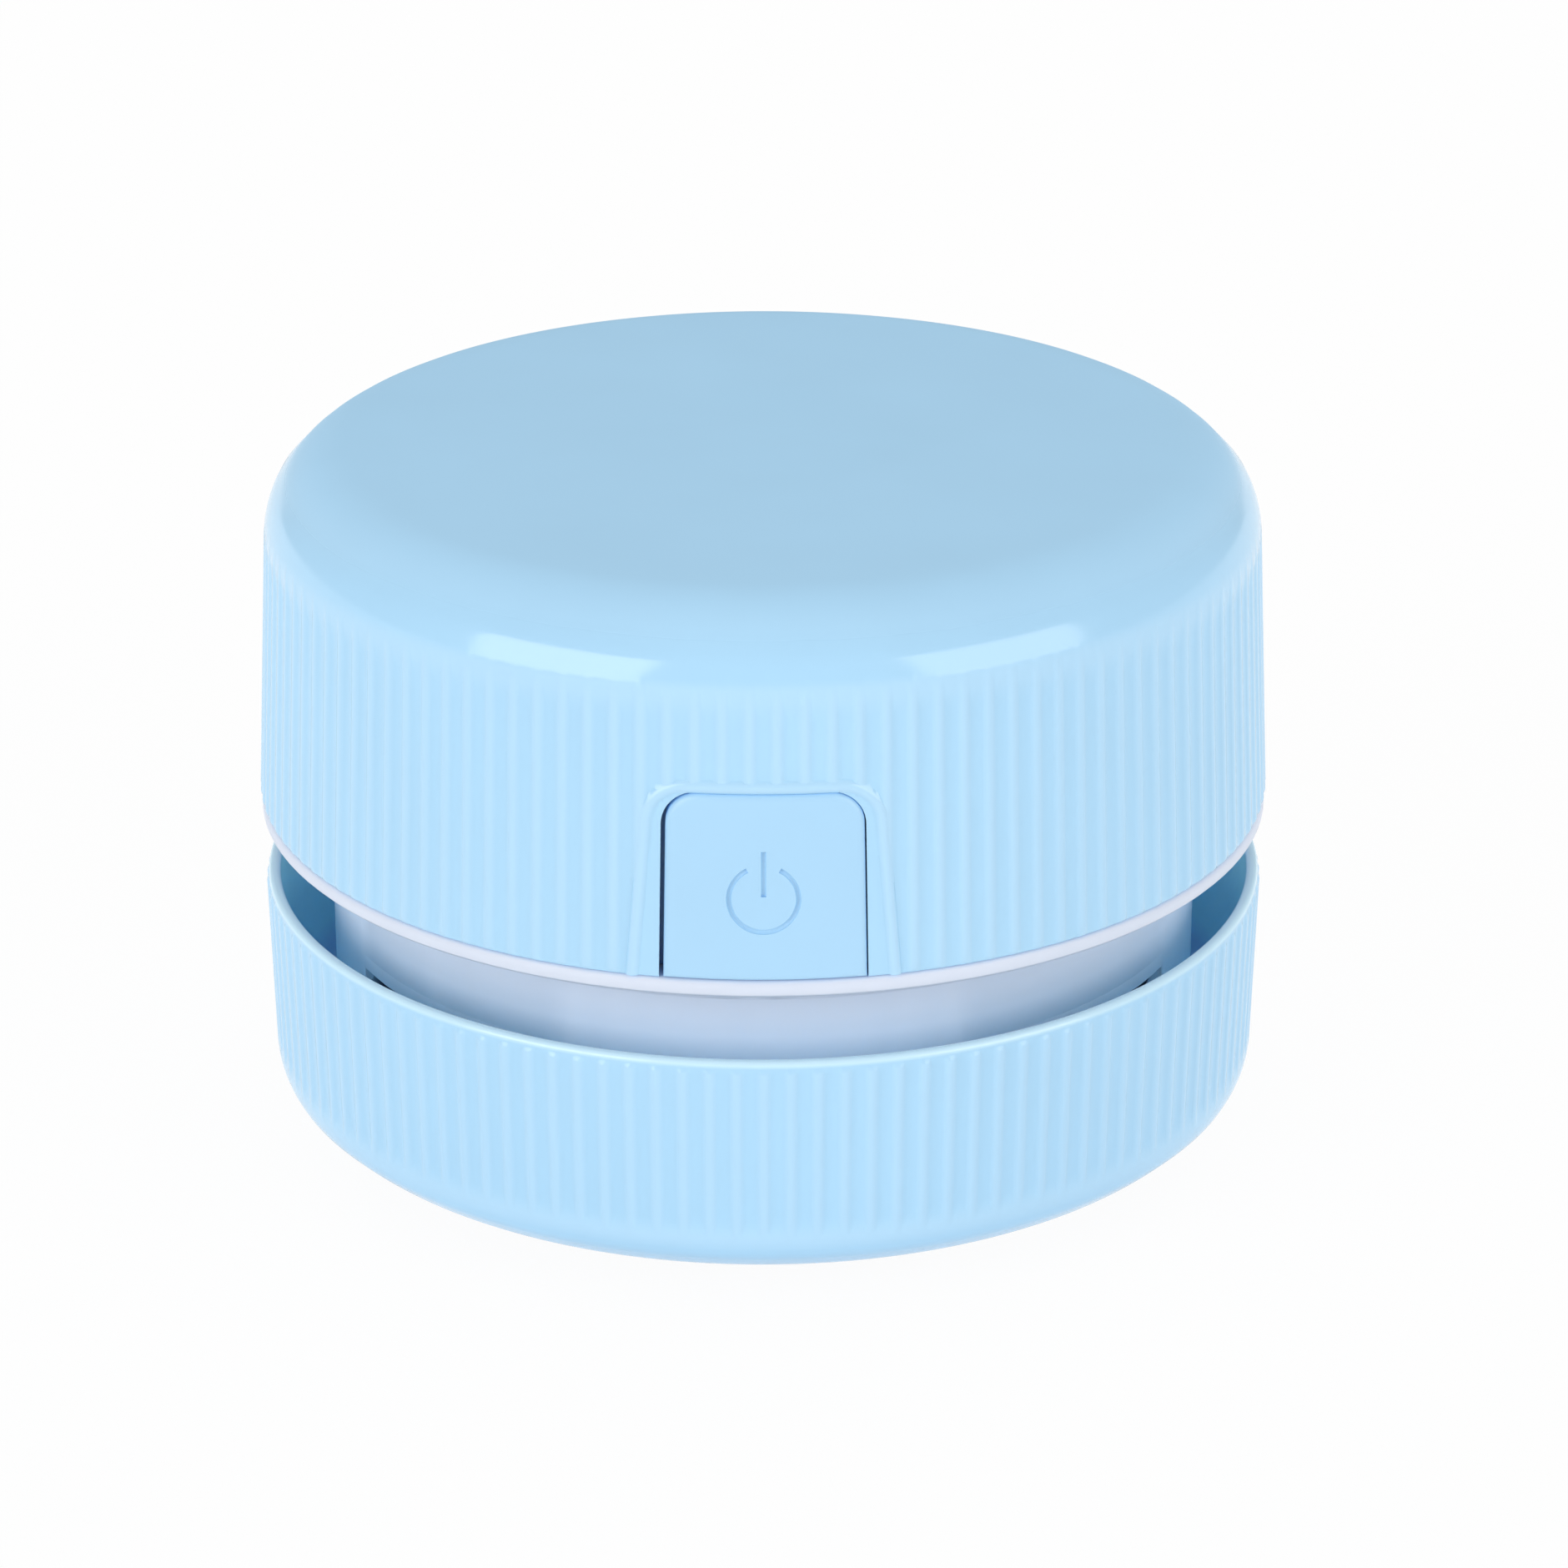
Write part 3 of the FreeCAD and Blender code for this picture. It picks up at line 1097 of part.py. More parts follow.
def make_board():
    """Charging board on its bosses with the socket, its tongue, the chips, light and screws."""
    low = shell_edge + dims.board_rise
    high = low + dims.board_thickness
    boss_y = dims.board_back - dims.board_boss_inset
    sheet_block = box("board_block", dims.board_half_width * 2, dims.board_depth, dims.board_thickness,
                      y=dims.board_back - dims.board_depth, z=low)
    holes = []
    screws = []
    for side in (-1, 1):
        x = dims.board_boss_place * side
        holes.append(cylinder(f"board_hole_{side + 1}", dims.small_screw_radius + dims.screw_play,
                              dims.board_thickness + dims.overrun * 2, x, boss_y, low - dims.overrun))
        head = cylinder(f"board_screw_head_{side + 1}", dims.small_screw_head, dims.small_screw_height,
                        x, boss_y, high)
        shank = cylinder(f"board_screw_shank_{side + 1}", dims.small_screw_radius, dims.small_screw_length,
                         x, boss_y, high - dims.small_screw_length)
        screws.append(fuse(f"board_screw_{side + 1}", [head, shank]))
    cut("circuit_board", sheet_block, group("board_holes", holes))
    group("board_screws", screws)

    axis_level = float(port_axis())
    mouth = dims.shell_radius - shell_draft() * (port_axis() - shell_edge) - dims.port_sink
    rear = float(mouth - dims.port_length)
    width, height, length = float(dims.port_width), float(dims.port_height), float(dims.port_length)
    skin = float(dims.port_skin)
    shell = stadium(width, height, length, rear, axis_level)
    hollow = stadium(width - 2 * skin, height - 2 * skin, length, rear + skin * 2, axis_level)
    feature("usb_socket", shell.cut(hollow))
    box("usb_tongue", dims.tongue_width, dims.tongue_length, dims.tongue_height,
        y=mouth - dims.port_length + dims.port_skin * 2, z=port_axis() - dims.tongue_height / 2)
    chip_y = dims.board_back - dims.board_depth + dims.chip_height / 2
    chips = [box(f"chip_{side + 1}", dims.chip_width, dims.chip_width * CHIP_DEPTH_SHARE, dims.chip_height,
                 dims.chip_width * 2 * side, chip_y, high) for side in (-1, 1)]
    group("board_chips", chips)
    box("charge_light", dims.led_width, dims.led_height, dims.led_height,
        dims.board_boss_place - dims.small_screw_head - dims.led_width / 2,
        dims.board_back - dims.led_height * 2, high)


def cup_radius(level):
    """Radius of the cup's rib crests at a level."""
    share = (float(level) - float(cup_base)) / float(dims.cup_height)
    foot, rim = float(dims.cup_foot_radius), float(dims.cup_rim_radius)
    return foot + (rim - foot) * share


def cup_ribs():
    """The ribbed band of the cup: square ends under the rim, faded feet above the round."""
    height = float(dims.rib_height)
    fillet = float(dims.cup_fillet)
    shoulder = float(cup_base) + fillet
    high = float(rim_level - dims.rim_band)
    drop = float(dims.rib_run_out) / 2
    drawn_in = fillet - math.sqrt(fillet * fillet - drop * drop)
    low_valley = cup_radius(shoulder - drop) - height - drawn_in
    grow = cup_radius(high) / cup_radius(shoulder)
    valley = cup_radius(shoulder) - height
    levels = [
        (shoulder - drop, low_valley, low_valley + float(dims.form_step)),
        (shoulder, valley, cup_radius(shoulder)),
        (high, valley * grow, cup_radius(high)),
    ]
    return feature("cup_ribs", ribbed(levels, whole(dims.rib_count), rib_share(), 0, float(dims.cup_wall) / 2))


def make_dust_cup():
    """Ribbed cup with its floor, the dust bowl's wall, screw bosses and the recess for the base plate."""
    inset = dims.rib_height + dims.form_step
    foot = dims.cup_foot_radius - inset
    rim = dims.cup_rim_radius - inset
    smooth = turned("cup_smooth", [
        (NOTHING, cup_base), (foot, cup_base), (rim, rim_level), (NOTHING, rim_level)],
        fillets=[(foot, cup_base, dims.cup_fillet)], bevels=[(rim, rim_level, dims.rim_bevel)])
    inner_foot = foot - dims.cup_wall
    inner_rim = rim - dims.cup_wall + dims.form_step
    bowl_in = dims.bowl_radius - dims.bowl_wall
    bowl_top = floor_top + dims.bowl_rise
    above = rim_level + dims.overrun
    cavity = turned("cup_cavity", [
        (NOTHING, floor_top), (bowl_in, floor_top), (bowl_in, bowl_top), (dims.bowl_radius, bowl_top),
        (dims.bowl_radius, floor_top), (inner_foot - dims.cup_inner_bevel, floor_top),
        (inner_foot, floor_top + dims.cup_inner_bevel), (inner_rim, above), (NOTHING, above)])
    recess = cylinder("cup_recess", dims.plate_radius + dims.plate_play, dims.plate_recess + dims.overrun,
                      z=cup_base - dims.overrun)
    hollow = cut("cup_hollow", smooth, group("cup_cutters", [cavity, recess]))
    bosses = []
    holes = [cylinder("duct_hole", dims.duct_bore + dims.duct_wall + dims.duct_play,
                      dims.floor_thickness + dims.overrun * 2, z=floor_underside - dims.overrun)]
    for number, degrees in enumerate(CORNER_ANGLES):
        x, y = spot(dims.base_screw_ring, degrees)
        height = dims.boss_rise + dims.floor_thickness / 2
        bosses.append(cylinder(f"cup_boss_{number}", dims.boss_radius, height,
                               x, y, floor_top - dims.floor_thickness / 2))
        holes.append(cylinder(f"cup_pilot_{number}", dims.screw_radius + dims.screw_play,
                              base_screw_tip() + dims.screw_play - floor_underside + dims.overrun, x, y,
                              floor_underside - dims.overrun))
    bossed = cut("cup_bossed", fuse("cup_with_bosses", [hollow] + bosses), group("cup_holes", holes))
    fuse("dust_cup", [bossed, cup_ribs()])


def base_screw_tip():
    """Level of the base screws' tips, inside the bosses."""
    return floor_top + dims.boss_rise - dims.floor_thickness / 2


def make_base_plate():
    """Base plate with the inlet duct, and the tufts of bristles set in it."""
    low = floor_underside - dims.plate_thickness
    duct_out = dims.duct_bore + dims.duct_wall
    duct_top = floor_top + dims.duct_rise
    plate = turned("plate_turned", [
        (dims.duct_bore + dims.mouth_flare, low), (dims.plate_radius, low),
        (dims.plate_radius, floor_underside), (duct_out, floor_underside), (duct_out, duct_top),
        (dims.duct_bore, duct_top), (dims.duct_bore, low + dims.mouth_flare)])
    sockets = []
    tufts = []
    for number in range(whole(dims.tuft_count)):
        angle = 2 * math.pi / whole(dims.tuft_count) * number
        root = float(low + dims.tuft_root)
        tufts.append(tuft(angle, float(dims.tuft_radius), 0, root))
        sockets.append(tuft(angle, float(dims.tuft_radius + dims.tuft_play), float(low - dims.overrun),
                            root + float(dims.tuft_play)))
    screw_holes = []
    for number, degrees in enumerate(CORNER_ANGLES):
        x, y = spot(dims.base_screw_ring, degrees)
        screw_holes.append(base_screw(f"plate_screw_hole_{number}", x, y, dims.screw_play, dims.overrun))
    drilled = cut("plate_drilled", plate, feature("tuft_sockets", Part.makeCompound(sockets)))
    cut("base_plate", drilled, group("plate_screw_holes", screw_holes))
    feature("brush_tufts", Part.makeCompound(tufts))


def tuft(angle, radius, low, high):
    """A bundle of bristles with flat sides, upright on its ring."""
    ring = float(dims.tuft_ring)
    sides = whole(dims.tuft_sides)
    corners = []
    for corner in range(sides):
        turn = angle + 2 * math.pi / sides * corner
        corners.append(FreeCAD.Vector(ring * math.cos(angle) + radius * math.cos(turn),
                                      ring * math.sin(angle) + radius * math.sin(turn), low))
    return flat_face(corners).extrude(FreeCAD.Vector(0, 0, high - low))


make_top_shell()
make_power_button()
make_switch()
make_chassis()
make_case_screws()
make_fan_shroud()
make_seal_ring()
make_filter()
make_rotor()
make_motor()
make_battery()
make_board()
make_dust_cup()
make_base_plate()

NODES = (
    "top_shell", "power_button", "switch_plunger", "push_switch", "chassis", "deck_screws", "fan_shroud",
    "shroud_screws", "seal_ring", "filter_frame", "filter_cloth", "impeller", "motor_shaft", "armature",
    "armature_windings", "commutator", "motor_can", "motor_end_cap", "motor_terminals", "motor_brushes",
    "motor_magnets", "motor_bushes", "motor_screws", "battery_cell", "battery_cradle", "battery_tabs",
    "circuit_board", "board_screws", "usb_socket", "usb_tongue", "board_chips", "charge_light", "dust_cup",
    "base_plate", "base_screws", "brush_tufts",
)

doc.recompute()
for thing in doc.Objects:
    if "Invalid" in thing.State or "Error" in thing.State:
        raise RuntimeError(f"{thing.Name} did not build: {thing.State}")
for name in NODES:
    thing = doc.getObject(name)
    thing.Label = name
    if thing.Shape.isNull() or not thing.Shape.isValid():
        raise RuntimeError(f"{name} has no valid shape")
for name in NODES:
    shape = doc.getObject(name).Shape
    shape.exportStep(f"parts/{name}.step")
    print(f"{name}: {len(shape.Solids)} solid(s), {shape.Volume:.1f} mm3")
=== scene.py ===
"""Looks of a palm-sized desk vacuum cleaner: ribbed blue shell and cup, white chassis, plain studio."""
from __future__ import annotations

import json
import logging
import math
import random
from dataclasses import dataclass, field, replace
from enum import Enum
from typing import Callable, Sequence, Union

import bmesh
import bpy
from mathutils import Matrix, Vector


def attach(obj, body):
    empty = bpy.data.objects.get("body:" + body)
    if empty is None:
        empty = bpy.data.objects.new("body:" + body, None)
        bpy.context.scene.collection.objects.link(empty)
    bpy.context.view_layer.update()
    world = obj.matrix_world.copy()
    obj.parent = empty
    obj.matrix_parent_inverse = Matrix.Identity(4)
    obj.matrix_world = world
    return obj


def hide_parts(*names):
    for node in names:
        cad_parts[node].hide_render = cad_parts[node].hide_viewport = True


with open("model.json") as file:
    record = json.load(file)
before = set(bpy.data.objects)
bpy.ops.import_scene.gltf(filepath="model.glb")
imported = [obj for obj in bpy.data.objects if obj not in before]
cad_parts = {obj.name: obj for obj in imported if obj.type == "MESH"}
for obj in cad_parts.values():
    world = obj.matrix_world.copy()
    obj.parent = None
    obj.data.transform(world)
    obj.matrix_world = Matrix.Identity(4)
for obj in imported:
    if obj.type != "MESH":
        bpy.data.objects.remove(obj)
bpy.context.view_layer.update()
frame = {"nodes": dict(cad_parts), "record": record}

MM = 0.001
FULL_TURN = 2 * math.pi
MERGE_DISTANCE = 0.001 * MM
SHARP_ANGLE = math.radians(50)
LOG = logging.getLogger("desk_vacuum")
WHITE = (1.0, 1.0, 1.0, 1.0)

Colour = tuple[float, float, float, float]
Point = tuple[float, float]


# Shader graphs


class Signal:
    """A shader socket that takes part in Python expressions."""

    def __init__(self, graph: "Graph", socket: bpy.types.NodeSocket) -> None:
        """Remember the socket and the graph it belongs to."""
        self.graph = graph
        self.socket = socket

    def _math(self, operation: str, first: "Feed", second: "Feed" = 0.0) -> "Signal":
        """Add one Math node."""
        return self.graph.add("ShaderNodeMath", {"operation": operation}, {0: first, 1: second})

    def __add__(self, other: "Feed") -> "Signal":
        """Sum."""
        return self._math("ADD", self, other)

    def __radd__(self, other: "Feed") -> "Signal":
        """Sum with a number on the left."""
        return self._math("ADD", other, self)

    def __sub__(self, other: "Feed") -> "Signal":
        """Difference."""
        return self._math("SUBTRACT", self, other)

    def __rsub__(self, other: "Feed") -> "Signal":
        """Difference with a number on the left."""
        return self._math("SUBTRACT", other, self)

    def __mul__(self, other: "Feed") -> "Signal":
        """Product."""
        return self._math("MULTIPLY", self, other)

    def __rmul__(self, other: "Feed") -> "Signal":
        """Product with a number on the left."""
        return self._math("MULTIPLY", other, self)

    def larger(self, other: "Feed") -> "Signal":
        """The larger of two values."""
        return self._math("MAXIMUM", self, other)

    def smaller(self, other: "Feed") -> "Signal":
        """The smaller of two values."""
        return self._math("MINIMUM", self, other)

    def above(self, level: float) -> "Signal":
        """1 where the value is above a level, 0 elsewhere."""
        return self._math("GREATER_THAN", self, level)

    def ramp(self, low: float, high: float) -> "Signal":
        """0 below low, 1 above high, and a straight rise between them."""
        return ((self - low) * (1 / (high - low))).larger(0.0).smaller(1.0)


Feed = Union[Signal, float, Sequence[float]]


class Graph:
    """The node tree of a material or of the world."""

    def __init__(self, tree: bpy.types.NodeTree) -> None:
        """Start from an empty tree."""
        self.tree = tree
        tree.nodes.clear()

    def add(self, kind: str, settings: dict | None = None, sockets: dict | None = None,
            output: int | str = 0) -> Signal:
        """Add one node.

        Args:
            kind: The node's type.
            settings: Its own settings, such as a Math node's operation.
            sockets: Values or signals for its inputs, by name or number.
            output: The output that is handed back.

        Returns:
            The chosen output as a signal.
        """
        node = self.tree.nodes.new(kind)
        for name, value in (settings or {}).items():
            setattr(node, name, value)
        for name, value in (sockets or {}).items():
            self._feed(node.inputs[name], value)
        return Signal(self, node.outputs[output]) if len(node.outputs) else Signal(self, None)

    def _feed(self, socket: bpy.types.NodeSocket, value: Feed) -> None:
        """Link a signal to a socket, or set its value."""
        if isinstance(value, Signal):
            self.tree.links.new(value.socket, socket)
        else:
            socket.default_value = value

    def place(self, stretch: Sequence[float] = (1.0, 1.0, 1.0)) -> Signal:
        """Object coordinates, in metres, scaled along each axis."""
        where = self.add("ShaderNodeTexCoord", output="Object")
        return self.add("ShaderNodeMapping", {"vector_type": "POINT"}, {"Vector": where, "Scale": stretch})

    def level(self) -> Signal:
        """The Z of Object coordinates, in metres."""
        return self.add("ShaderNodeSeparateXYZ", {}, {"Vector": self.place()}, "Z")

    def noise(self, where: Signal, size: float, detail: float = 2.0, rough: float = 0.5) -> Signal:
        """Cloudy noise whose blobs are about this many millimetres across."""
        return self.add("ShaderNodeTexNoise", {},
                        {"Vector": where, "Scale": 1 / (size * MM), "Detail": detail, "Roughness": rough})

    def blend_colour(self, share: Feed, first: Feed, second: Feed) -> Signal:
        """A colour between two."""
        return self.add("ShaderNodeMix", {"data_type": "RGBA"}, {0: share, 6: first, 7: second}, 2)

    def blend_shades(self, share: Feed, tint: Colour, shades: tuple[float, float]) -> Signal:
        """A colour between a darker and a lighter shade of one tint."""
        return self.blend_colour(share, shaded(tint, shades[0]), shaded(tint, shades[1]))

    def relief(self, height: Signal, depth: float) -> Signal:
        """A normal bent by a height of this many millimetres."""
        return self.add("ShaderNodeBump", {}, {"Strength": 1.0, "Distance": depth * MM, "Height": height})


def display(red: float, green: float, blue: float) -> Colour:
    """A colour given as it shows on a display, 0 to 255, as linear light."""
    def linear(level: float) -> float:
        """One channel."""
        share = level / 255
        return share / 12.92 if share <= 0.04045 else ((share + 0.055) / 1.055) ** 2.4
    return linear(red), linear(green), linear(blue), 1.0


def shaded(colour: Colour, share: float) -> Colour:
    """A colour made lighter or darker."""
    return colour[0] * share, colour[1] * share, colour[2] * share, 1.0


# Finishes


class Lay(Enum):
    """The way the fine lines of a metal's surface run."""

    ALONG_X = (1.0, 30.0, 30.0)
    ALONG_Z = (30.0, 30.0, 1.0)
    NONE = (1.0, 1.0, 1.0)


@dataclass(frozen=True)
class Finish:
    """A surface finish, made once as a material."""

    name: str
    tint: Colour
    roughness: float

    def material(self) -> bpy.types.Material:
        """The finish's material, made on first use.

        Returns:
            A material with its whole node tree.
        """
        known = bpy.data.materials.get(self.name)
        if known:
            return known
        made = bpy.data.materials.new(self.name)
        made.use_nodes = True
        graph = Graph(made.node_tree)
        shader = graph.add("ShaderNodeBsdfPrincipled", {}, self.surface(graph), "BSDF")
        graph.add("ShaderNodeOutputMaterial", {}, {"Surface": shader})
        return made

    def surface(self, graph: Graph) -> dict[str, Feed]:
        """The shader's inputs."""
        raise NotImplementedError


@dataclass(frozen=True)
class MouldedPlastic(Finish):
    """Injection-moulded plastic: faint flow clouds, a fine tool texture and handling smudges."""

    grain_size: float = 0.16
    grain_depth: float = 0.0016
    cloud_size: float = 17.0
    cloud_shades: tuple[float, float] = (0.965, 1.03)
    wave_depth: float = 0.006
    smudge_size: float = 4.2
    smudge: float = 0.07
    coat: float = 0.0
    coat_roughness: float = 0.06
    see_through: float = 0.0

    def surface(self, graph: Graph) -> dict[str, Feed]:
        """Colour, roughness and relief of a moulded skin."""
        where = graph.place()
        clouds = graph.noise(where, self.cloud_size, 2.0)
        smudges = graph.noise(where, self.smudge_size, 4.0, 0.6)
        grain = graph.noise(where, self.grain_size, 3.0)
        height = grain * (self.grain_depth / self.wave_depth) + clouds
        return {
            "Base Color": graph.blend_shades(clouds, self.tint, self.cloud_shades),
            "Roughness": self.roughness + (smudges - 0.5) * self.smudge,
            "Coat Weight": self.coat,
            "Coat Roughness": self.coat_roughness,
            "Transmission Weight": self.see_through,
            "Normal": graph.relief(height, self.wave_depth),
        }


@dataclass(frozen=True)
class RibbedPlastic(MouldedPlastic):
    """Moulded plastic with painted light on its ribs: the crests are painted paler than the valleys between them.

    The valleys' radius is given at level 0, and how much it grows per millimetre of level."""

    # painted light: the paler tint painted on the ribs' crests
    crest_light_tint: Colour = field(default=display(182, 222, 249))
    valley_radius: float = 42.0
    growth: float = 0.0
    rib_height: float = 0.2

    def rise(self, graph: Graph) -> Signal:
        """Height over the valleys between the ribs, in metres."""
        radius = graph.add("ShaderNodeVectorMath", {"operation": "LENGTH"},
                           {0: graph.place((1.0, 1.0, 0.0))}, "Value")
        return radius - graph.level() * self.growth - self.valley_radius * MM

    def surface(self, graph: Graph) -> dict[str, Feed]:
        """A moulded skin with painted light that makes the crests pale."""
        skin = super().surface(graph)
        # painted light: the crests are blended towards a paler tint
        crest = self.rise(graph).ramp(0.0, self.rib_height * MM)
        skin["Base Color"] = graph.blend_colour(crest, skin["Base Color"], self.crest_light_tint)
        return skin


@dataclass(frozen=True)
class ShellPlastic(RibbedPlastic):
    """Ribbed plastic that is glossy on its side and shoulder, and matt on its flat top."""

    top_roughness: float = 0.8
    glossy_level: float = 56.8
    matt_level: float = 59.4

    def surface(self, graph: Graph) -> dict[str, Feed]:
        """A ribbed skin with a matt top."""
        skin = super().surface(graph)
        matt = graph.level().ramp(self.glossy_level * MM, self.matt_level * MM)
        skin["Roughness"] = skin["Roughness"] + matt * (self.top_roughness - self.roughness)
        return skin


@dataclass(frozen=True)
class CupPlastic(RibbedPlastic):
    """Ribbed plastic with painted light that stands for light through its thin wall: paler at its rim, greener
    inside.
    """

    # painted light: the greener tint of the inner side, standing for light through the wall
    inner_light_tint: Colour = field(default=display(180, 243, 253))
    inside_depth: float = 0.5
    inside_low: float = 7.6
    inside_high: float = 10.0
    # painted light: the paler tint painted on the thin rim
    rim_light_tint: Colour = field(default=display(205, 238, 254))
    rim_low: float = 22.2
    rim_high: float = 22.5

    def surface(self, graph: Graph) -> dict[str, Feed]:
        """A ribbed skin with painted light on its rim and its inner side."""
        skin = super().surface(graph)
        # painted light on the inner side, above the floor
        inside = 1 - self.rise(graph).above(-self.inside_depth * MM)
        inside = inside * graph.level().ramp(self.inside_low * MM, self.inside_high * MM)
        # painted light on the rim
        rim = graph.level().ramp(self.rim_low * MM, self.rim_high * MM)
        colour = graph.blend_colour(inside, skin["Base Color"], self.inner_light_tint)
        skin["Base Color"] = graph.blend_colour(rim, colour, self.rim_light_tint)
        return skin


@dataclass(frozen=True)
class WhitePlastic(MouldedPlastic):
    """White moulded plastic with painted light below the flange: a bluer, lighter tint stands for blue light
    bounced from the cup.
    """

    # painted light: the bluer tint painted below the flange
    bounce_light_tint: Colour = field(default=display(227, 236, 251))
    low: float = 22.5
    high: float = 26.5

    def surface(self, graph: Graph) -> dict[str, Feed]:
        """A moulded skin whose lower part is painted with the bounced light's tint."""
        skin = super().surface(graph)
        # painted light below the flange, fading in between the two levels
        share = graph.level().ramp(self.low * MM, self.high * MM)
        skin["Base Color"] = graph.blend_colour(share, self.bounce_light_tint, skin["Base Color"])
        return skin


@dataclass(frozen=True)
class PlatedMetal(Finish):
    """Worked metal with the fine lines of its making and a few dull patches."""

    lay: Lay = Lay.NONE
    line_size: float = 0.9
    line_depth: float = 0.0014
    patch_size: float = 2.6
    patch_shades: tuple[float, float] = (0.82, 1.08)
    patch_dullness: float = 0.16

    def surface(self, graph: Graph) -> dict[str, Feed]:
        """Colour, roughness and relief of a metal skin."""
        lines = graph.noise(graph.place(self.lay.value), self.line_size, 3.0)
        patches = graph.noise(graph.place(), self.patch_size, 4.0, 0.65)
        return {
            "Base Color": graph.blend_shades(patches, self.tint, self.patch_shades),
            "Metallic": 1.0,
            "Roughness": self.roughness + (patches - 0.5) * self.patch_dullness,
            "Normal": graph.relief(lines, self.line_depth),
        }


@dataclass(frozen=True)
class WoundWire(Finish):
    """Enamelled wire wound in close turns."""

    turn: float = 0.35
    # painted shade: the darker share marks the gaps between turns
    painted_gap_shades: tuple[float, float] = (0.45, 1.0)
    turn_depth: float = 0.05
    disorder: float = 0.6

    def surface(self, graph: Graph) -> dict[str, Feed]:
        """Stripes of one wire's width that stand out as round turns, with painted shade in the gaps between them.
        """
        turns = graph.add("ShaderNodeTexWave", {"wave_type": "BANDS", "bands_direction": "Z"},
                          {"Vector": graph.place(), "Scale": 1 / (self.turn * MM) / FULL_TURN * 2,
                           "Distortion": self.disorder, "Detail": 1.0}, 1)
        return {
            # painted shade in the gaps between turns
            "Base Color": graph.blend_shades(turns, self.tint, self.painted_gap_shades),
            "Metallic": 1.0,
            "Roughness": self.roughness + turns * 0.1,
            "Normal": graph.relief(turns, self.turn_depth),
        }


@dataclass(frozen=True)
class ShrinkSleeve(Finish):
    """Thin glossy sleeve shrunk over a cell, with fine wrinkles along it."""

    wrinkle_size: float = 7.0
    wrinkle_shades: tuple[float, float] = (0.9, 1.15)
    wrinkle_depth: float = 0.05
    scuff_size: float = 1.1
    scuff_dullness: float = 0.16
    coat: float = 0.4

    def surface(self, graph: Graph) -> dict[str, Feed]:
        """Gloss that breaks on the wrinkles."""
        wrinkles = graph.noise(graph.place((1.0, 9.0, 9.0)), self.wrinkle_size, 4.0, 0.6)
        scuffs = graph.noise(graph.place(), self.scuff_size, 5.0, 0.7)
        return {
            "Base Color": graph.blend_shades(wrinkles, self.tint, self.wrinkle_shades),
            "Roughness": self.roughness + scuffs * self.scuff_dullness,
            "Coat Weight": self.coat,
            "Normal": graph.relief(wrinkles, self.wrinkle_depth),
        }


@dataclass(frozen=True)
class SolderMask(Finish):
    """Circuit board lacquer over copper tracks."""

    track: Colour = field(default=display(58, 132, 84))
    track_pitch: float = 1.3
    track_share: float = 0.09
    track_height: float = 0.03
    dust_size: float = 0.6
    dust_dullness: float = 0.12

    def surface(self, graph: Graph) -> dict[str, Feed]:
        """Raised, lighter tracks between dark fields."""
        where = graph.place()
        cells = graph.add("ShaderNodeTexVoronoi", {"feature": "DISTANCE_TO_EDGE"},
                          {"Vector": where, "Scale": 1 / (self.track_pitch * MM)})
        tracks = 1 - cells.above(self.track_share)
        dust = graph.noise(where, self.dust_size, 3.0)
        return {
            "Base Color": graph.blend_colour(tracks, self.tint, self.track),
            "Roughness": self.roughness + dust * self.dust_dullness,
            "Normal": graph.relief(tracks, self.track_height),
        }


@dataclass(frozen=True)
class SoftRubber(Finish):
    """Matt silicone with a fine bloom."""

    bloom_size: float = 0.9
    bloom_shades: tuple[float, float] = (0.88, 1.12)
    bloom_dullness: float = 0.2
    bloom_depth: float = 0.01
    sheen: float = 0.15

    def surface(self, graph: Graph) -> dict[str, Feed]:
        """A dull skin with a powdery bloom."""
        bloom = graph.noise(graph.place(), self.bloom_size, 5.0, 0.7)
        return {
            "Base Color": graph.blend_shades(bloom, self.tint, self.bloom_shades),
            "Roughness": self.roughness + bloom * self.bloom_dullness,
            "Sheen Weight": self.sheen,
            "Normal": graph.relief(bloom, self.bloom_depth),
        }


@dataclass(frozen=True)
class FeltCloth(Finish):
    """Non-woven cloth: short fibres that lie in all directions."""

    fibre_run: float = 1.1
    slimness: float = 7.0
    fibre_shades: tuple[float, float] = (0.62, 1.0)
    fibre_depth: float = 0.12
    sheen: float = 0.35

    def surface(self, graph: Graph) -> dict[str, Feed]:
        """Two crossed layers of fibres with small shadows between them."""
        along = graph.noise(graph.place((1.0, self.slimness, 1.0)), self.fibre_run, 4.0, 0.65)
        across = graph.noise(graph.place((self.slimness, 1.0, 1.0)), self.fibre_run, 4.0, 0.65)
        fibres = along.larger(across)
        return {
            "Base Color": graph.blend_shades(fibres, self.tint, self.fibre_shades),
            "Roughness": self.roughness,
            "Sheen Weight": self.sheen,
            "Normal": graph.relief(fibres, self.fibre_depth),
        }


@dataclass(frozen=True)
class NylonBristle(Finish):
    """Drawn nylon: smooth, with streaks along each bristle."""

    streak_size: float = 0.3
    streak_shades: tuple[float, float] = (0.6, 1.9)
    streak_dullness: float = 0.2
    streak_depth: float = 0.01

    def surface(self, graph: Graph) -> dict[str, Feed]:
        """Streaks that differ from bristle to bristle."""
        streaks = graph.noise(graph.place((1.0, 1.0, 0.05)), self.streak_size, 2.0)
        return {
            "Base Color": graph.blend_shades(streaks, self.tint, self.streak_shades),
            "Roughness": self.roughness + streaks * self.streak_dullness,
            "Normal": graph.relief(streaks, self.streak_depth),
        }


SKY_BLUE = display(175, 219, 248)
SHELL_GROWTH = -1.54 / 30.0
SHELL_VALLEY = 42.8 - 30.0 * SHELL_GROWTH
CUP_GROWTH = 0.45 / 19.8
CUP_VALLEY = 42.15 - 3.0 * CUP_GROWTH

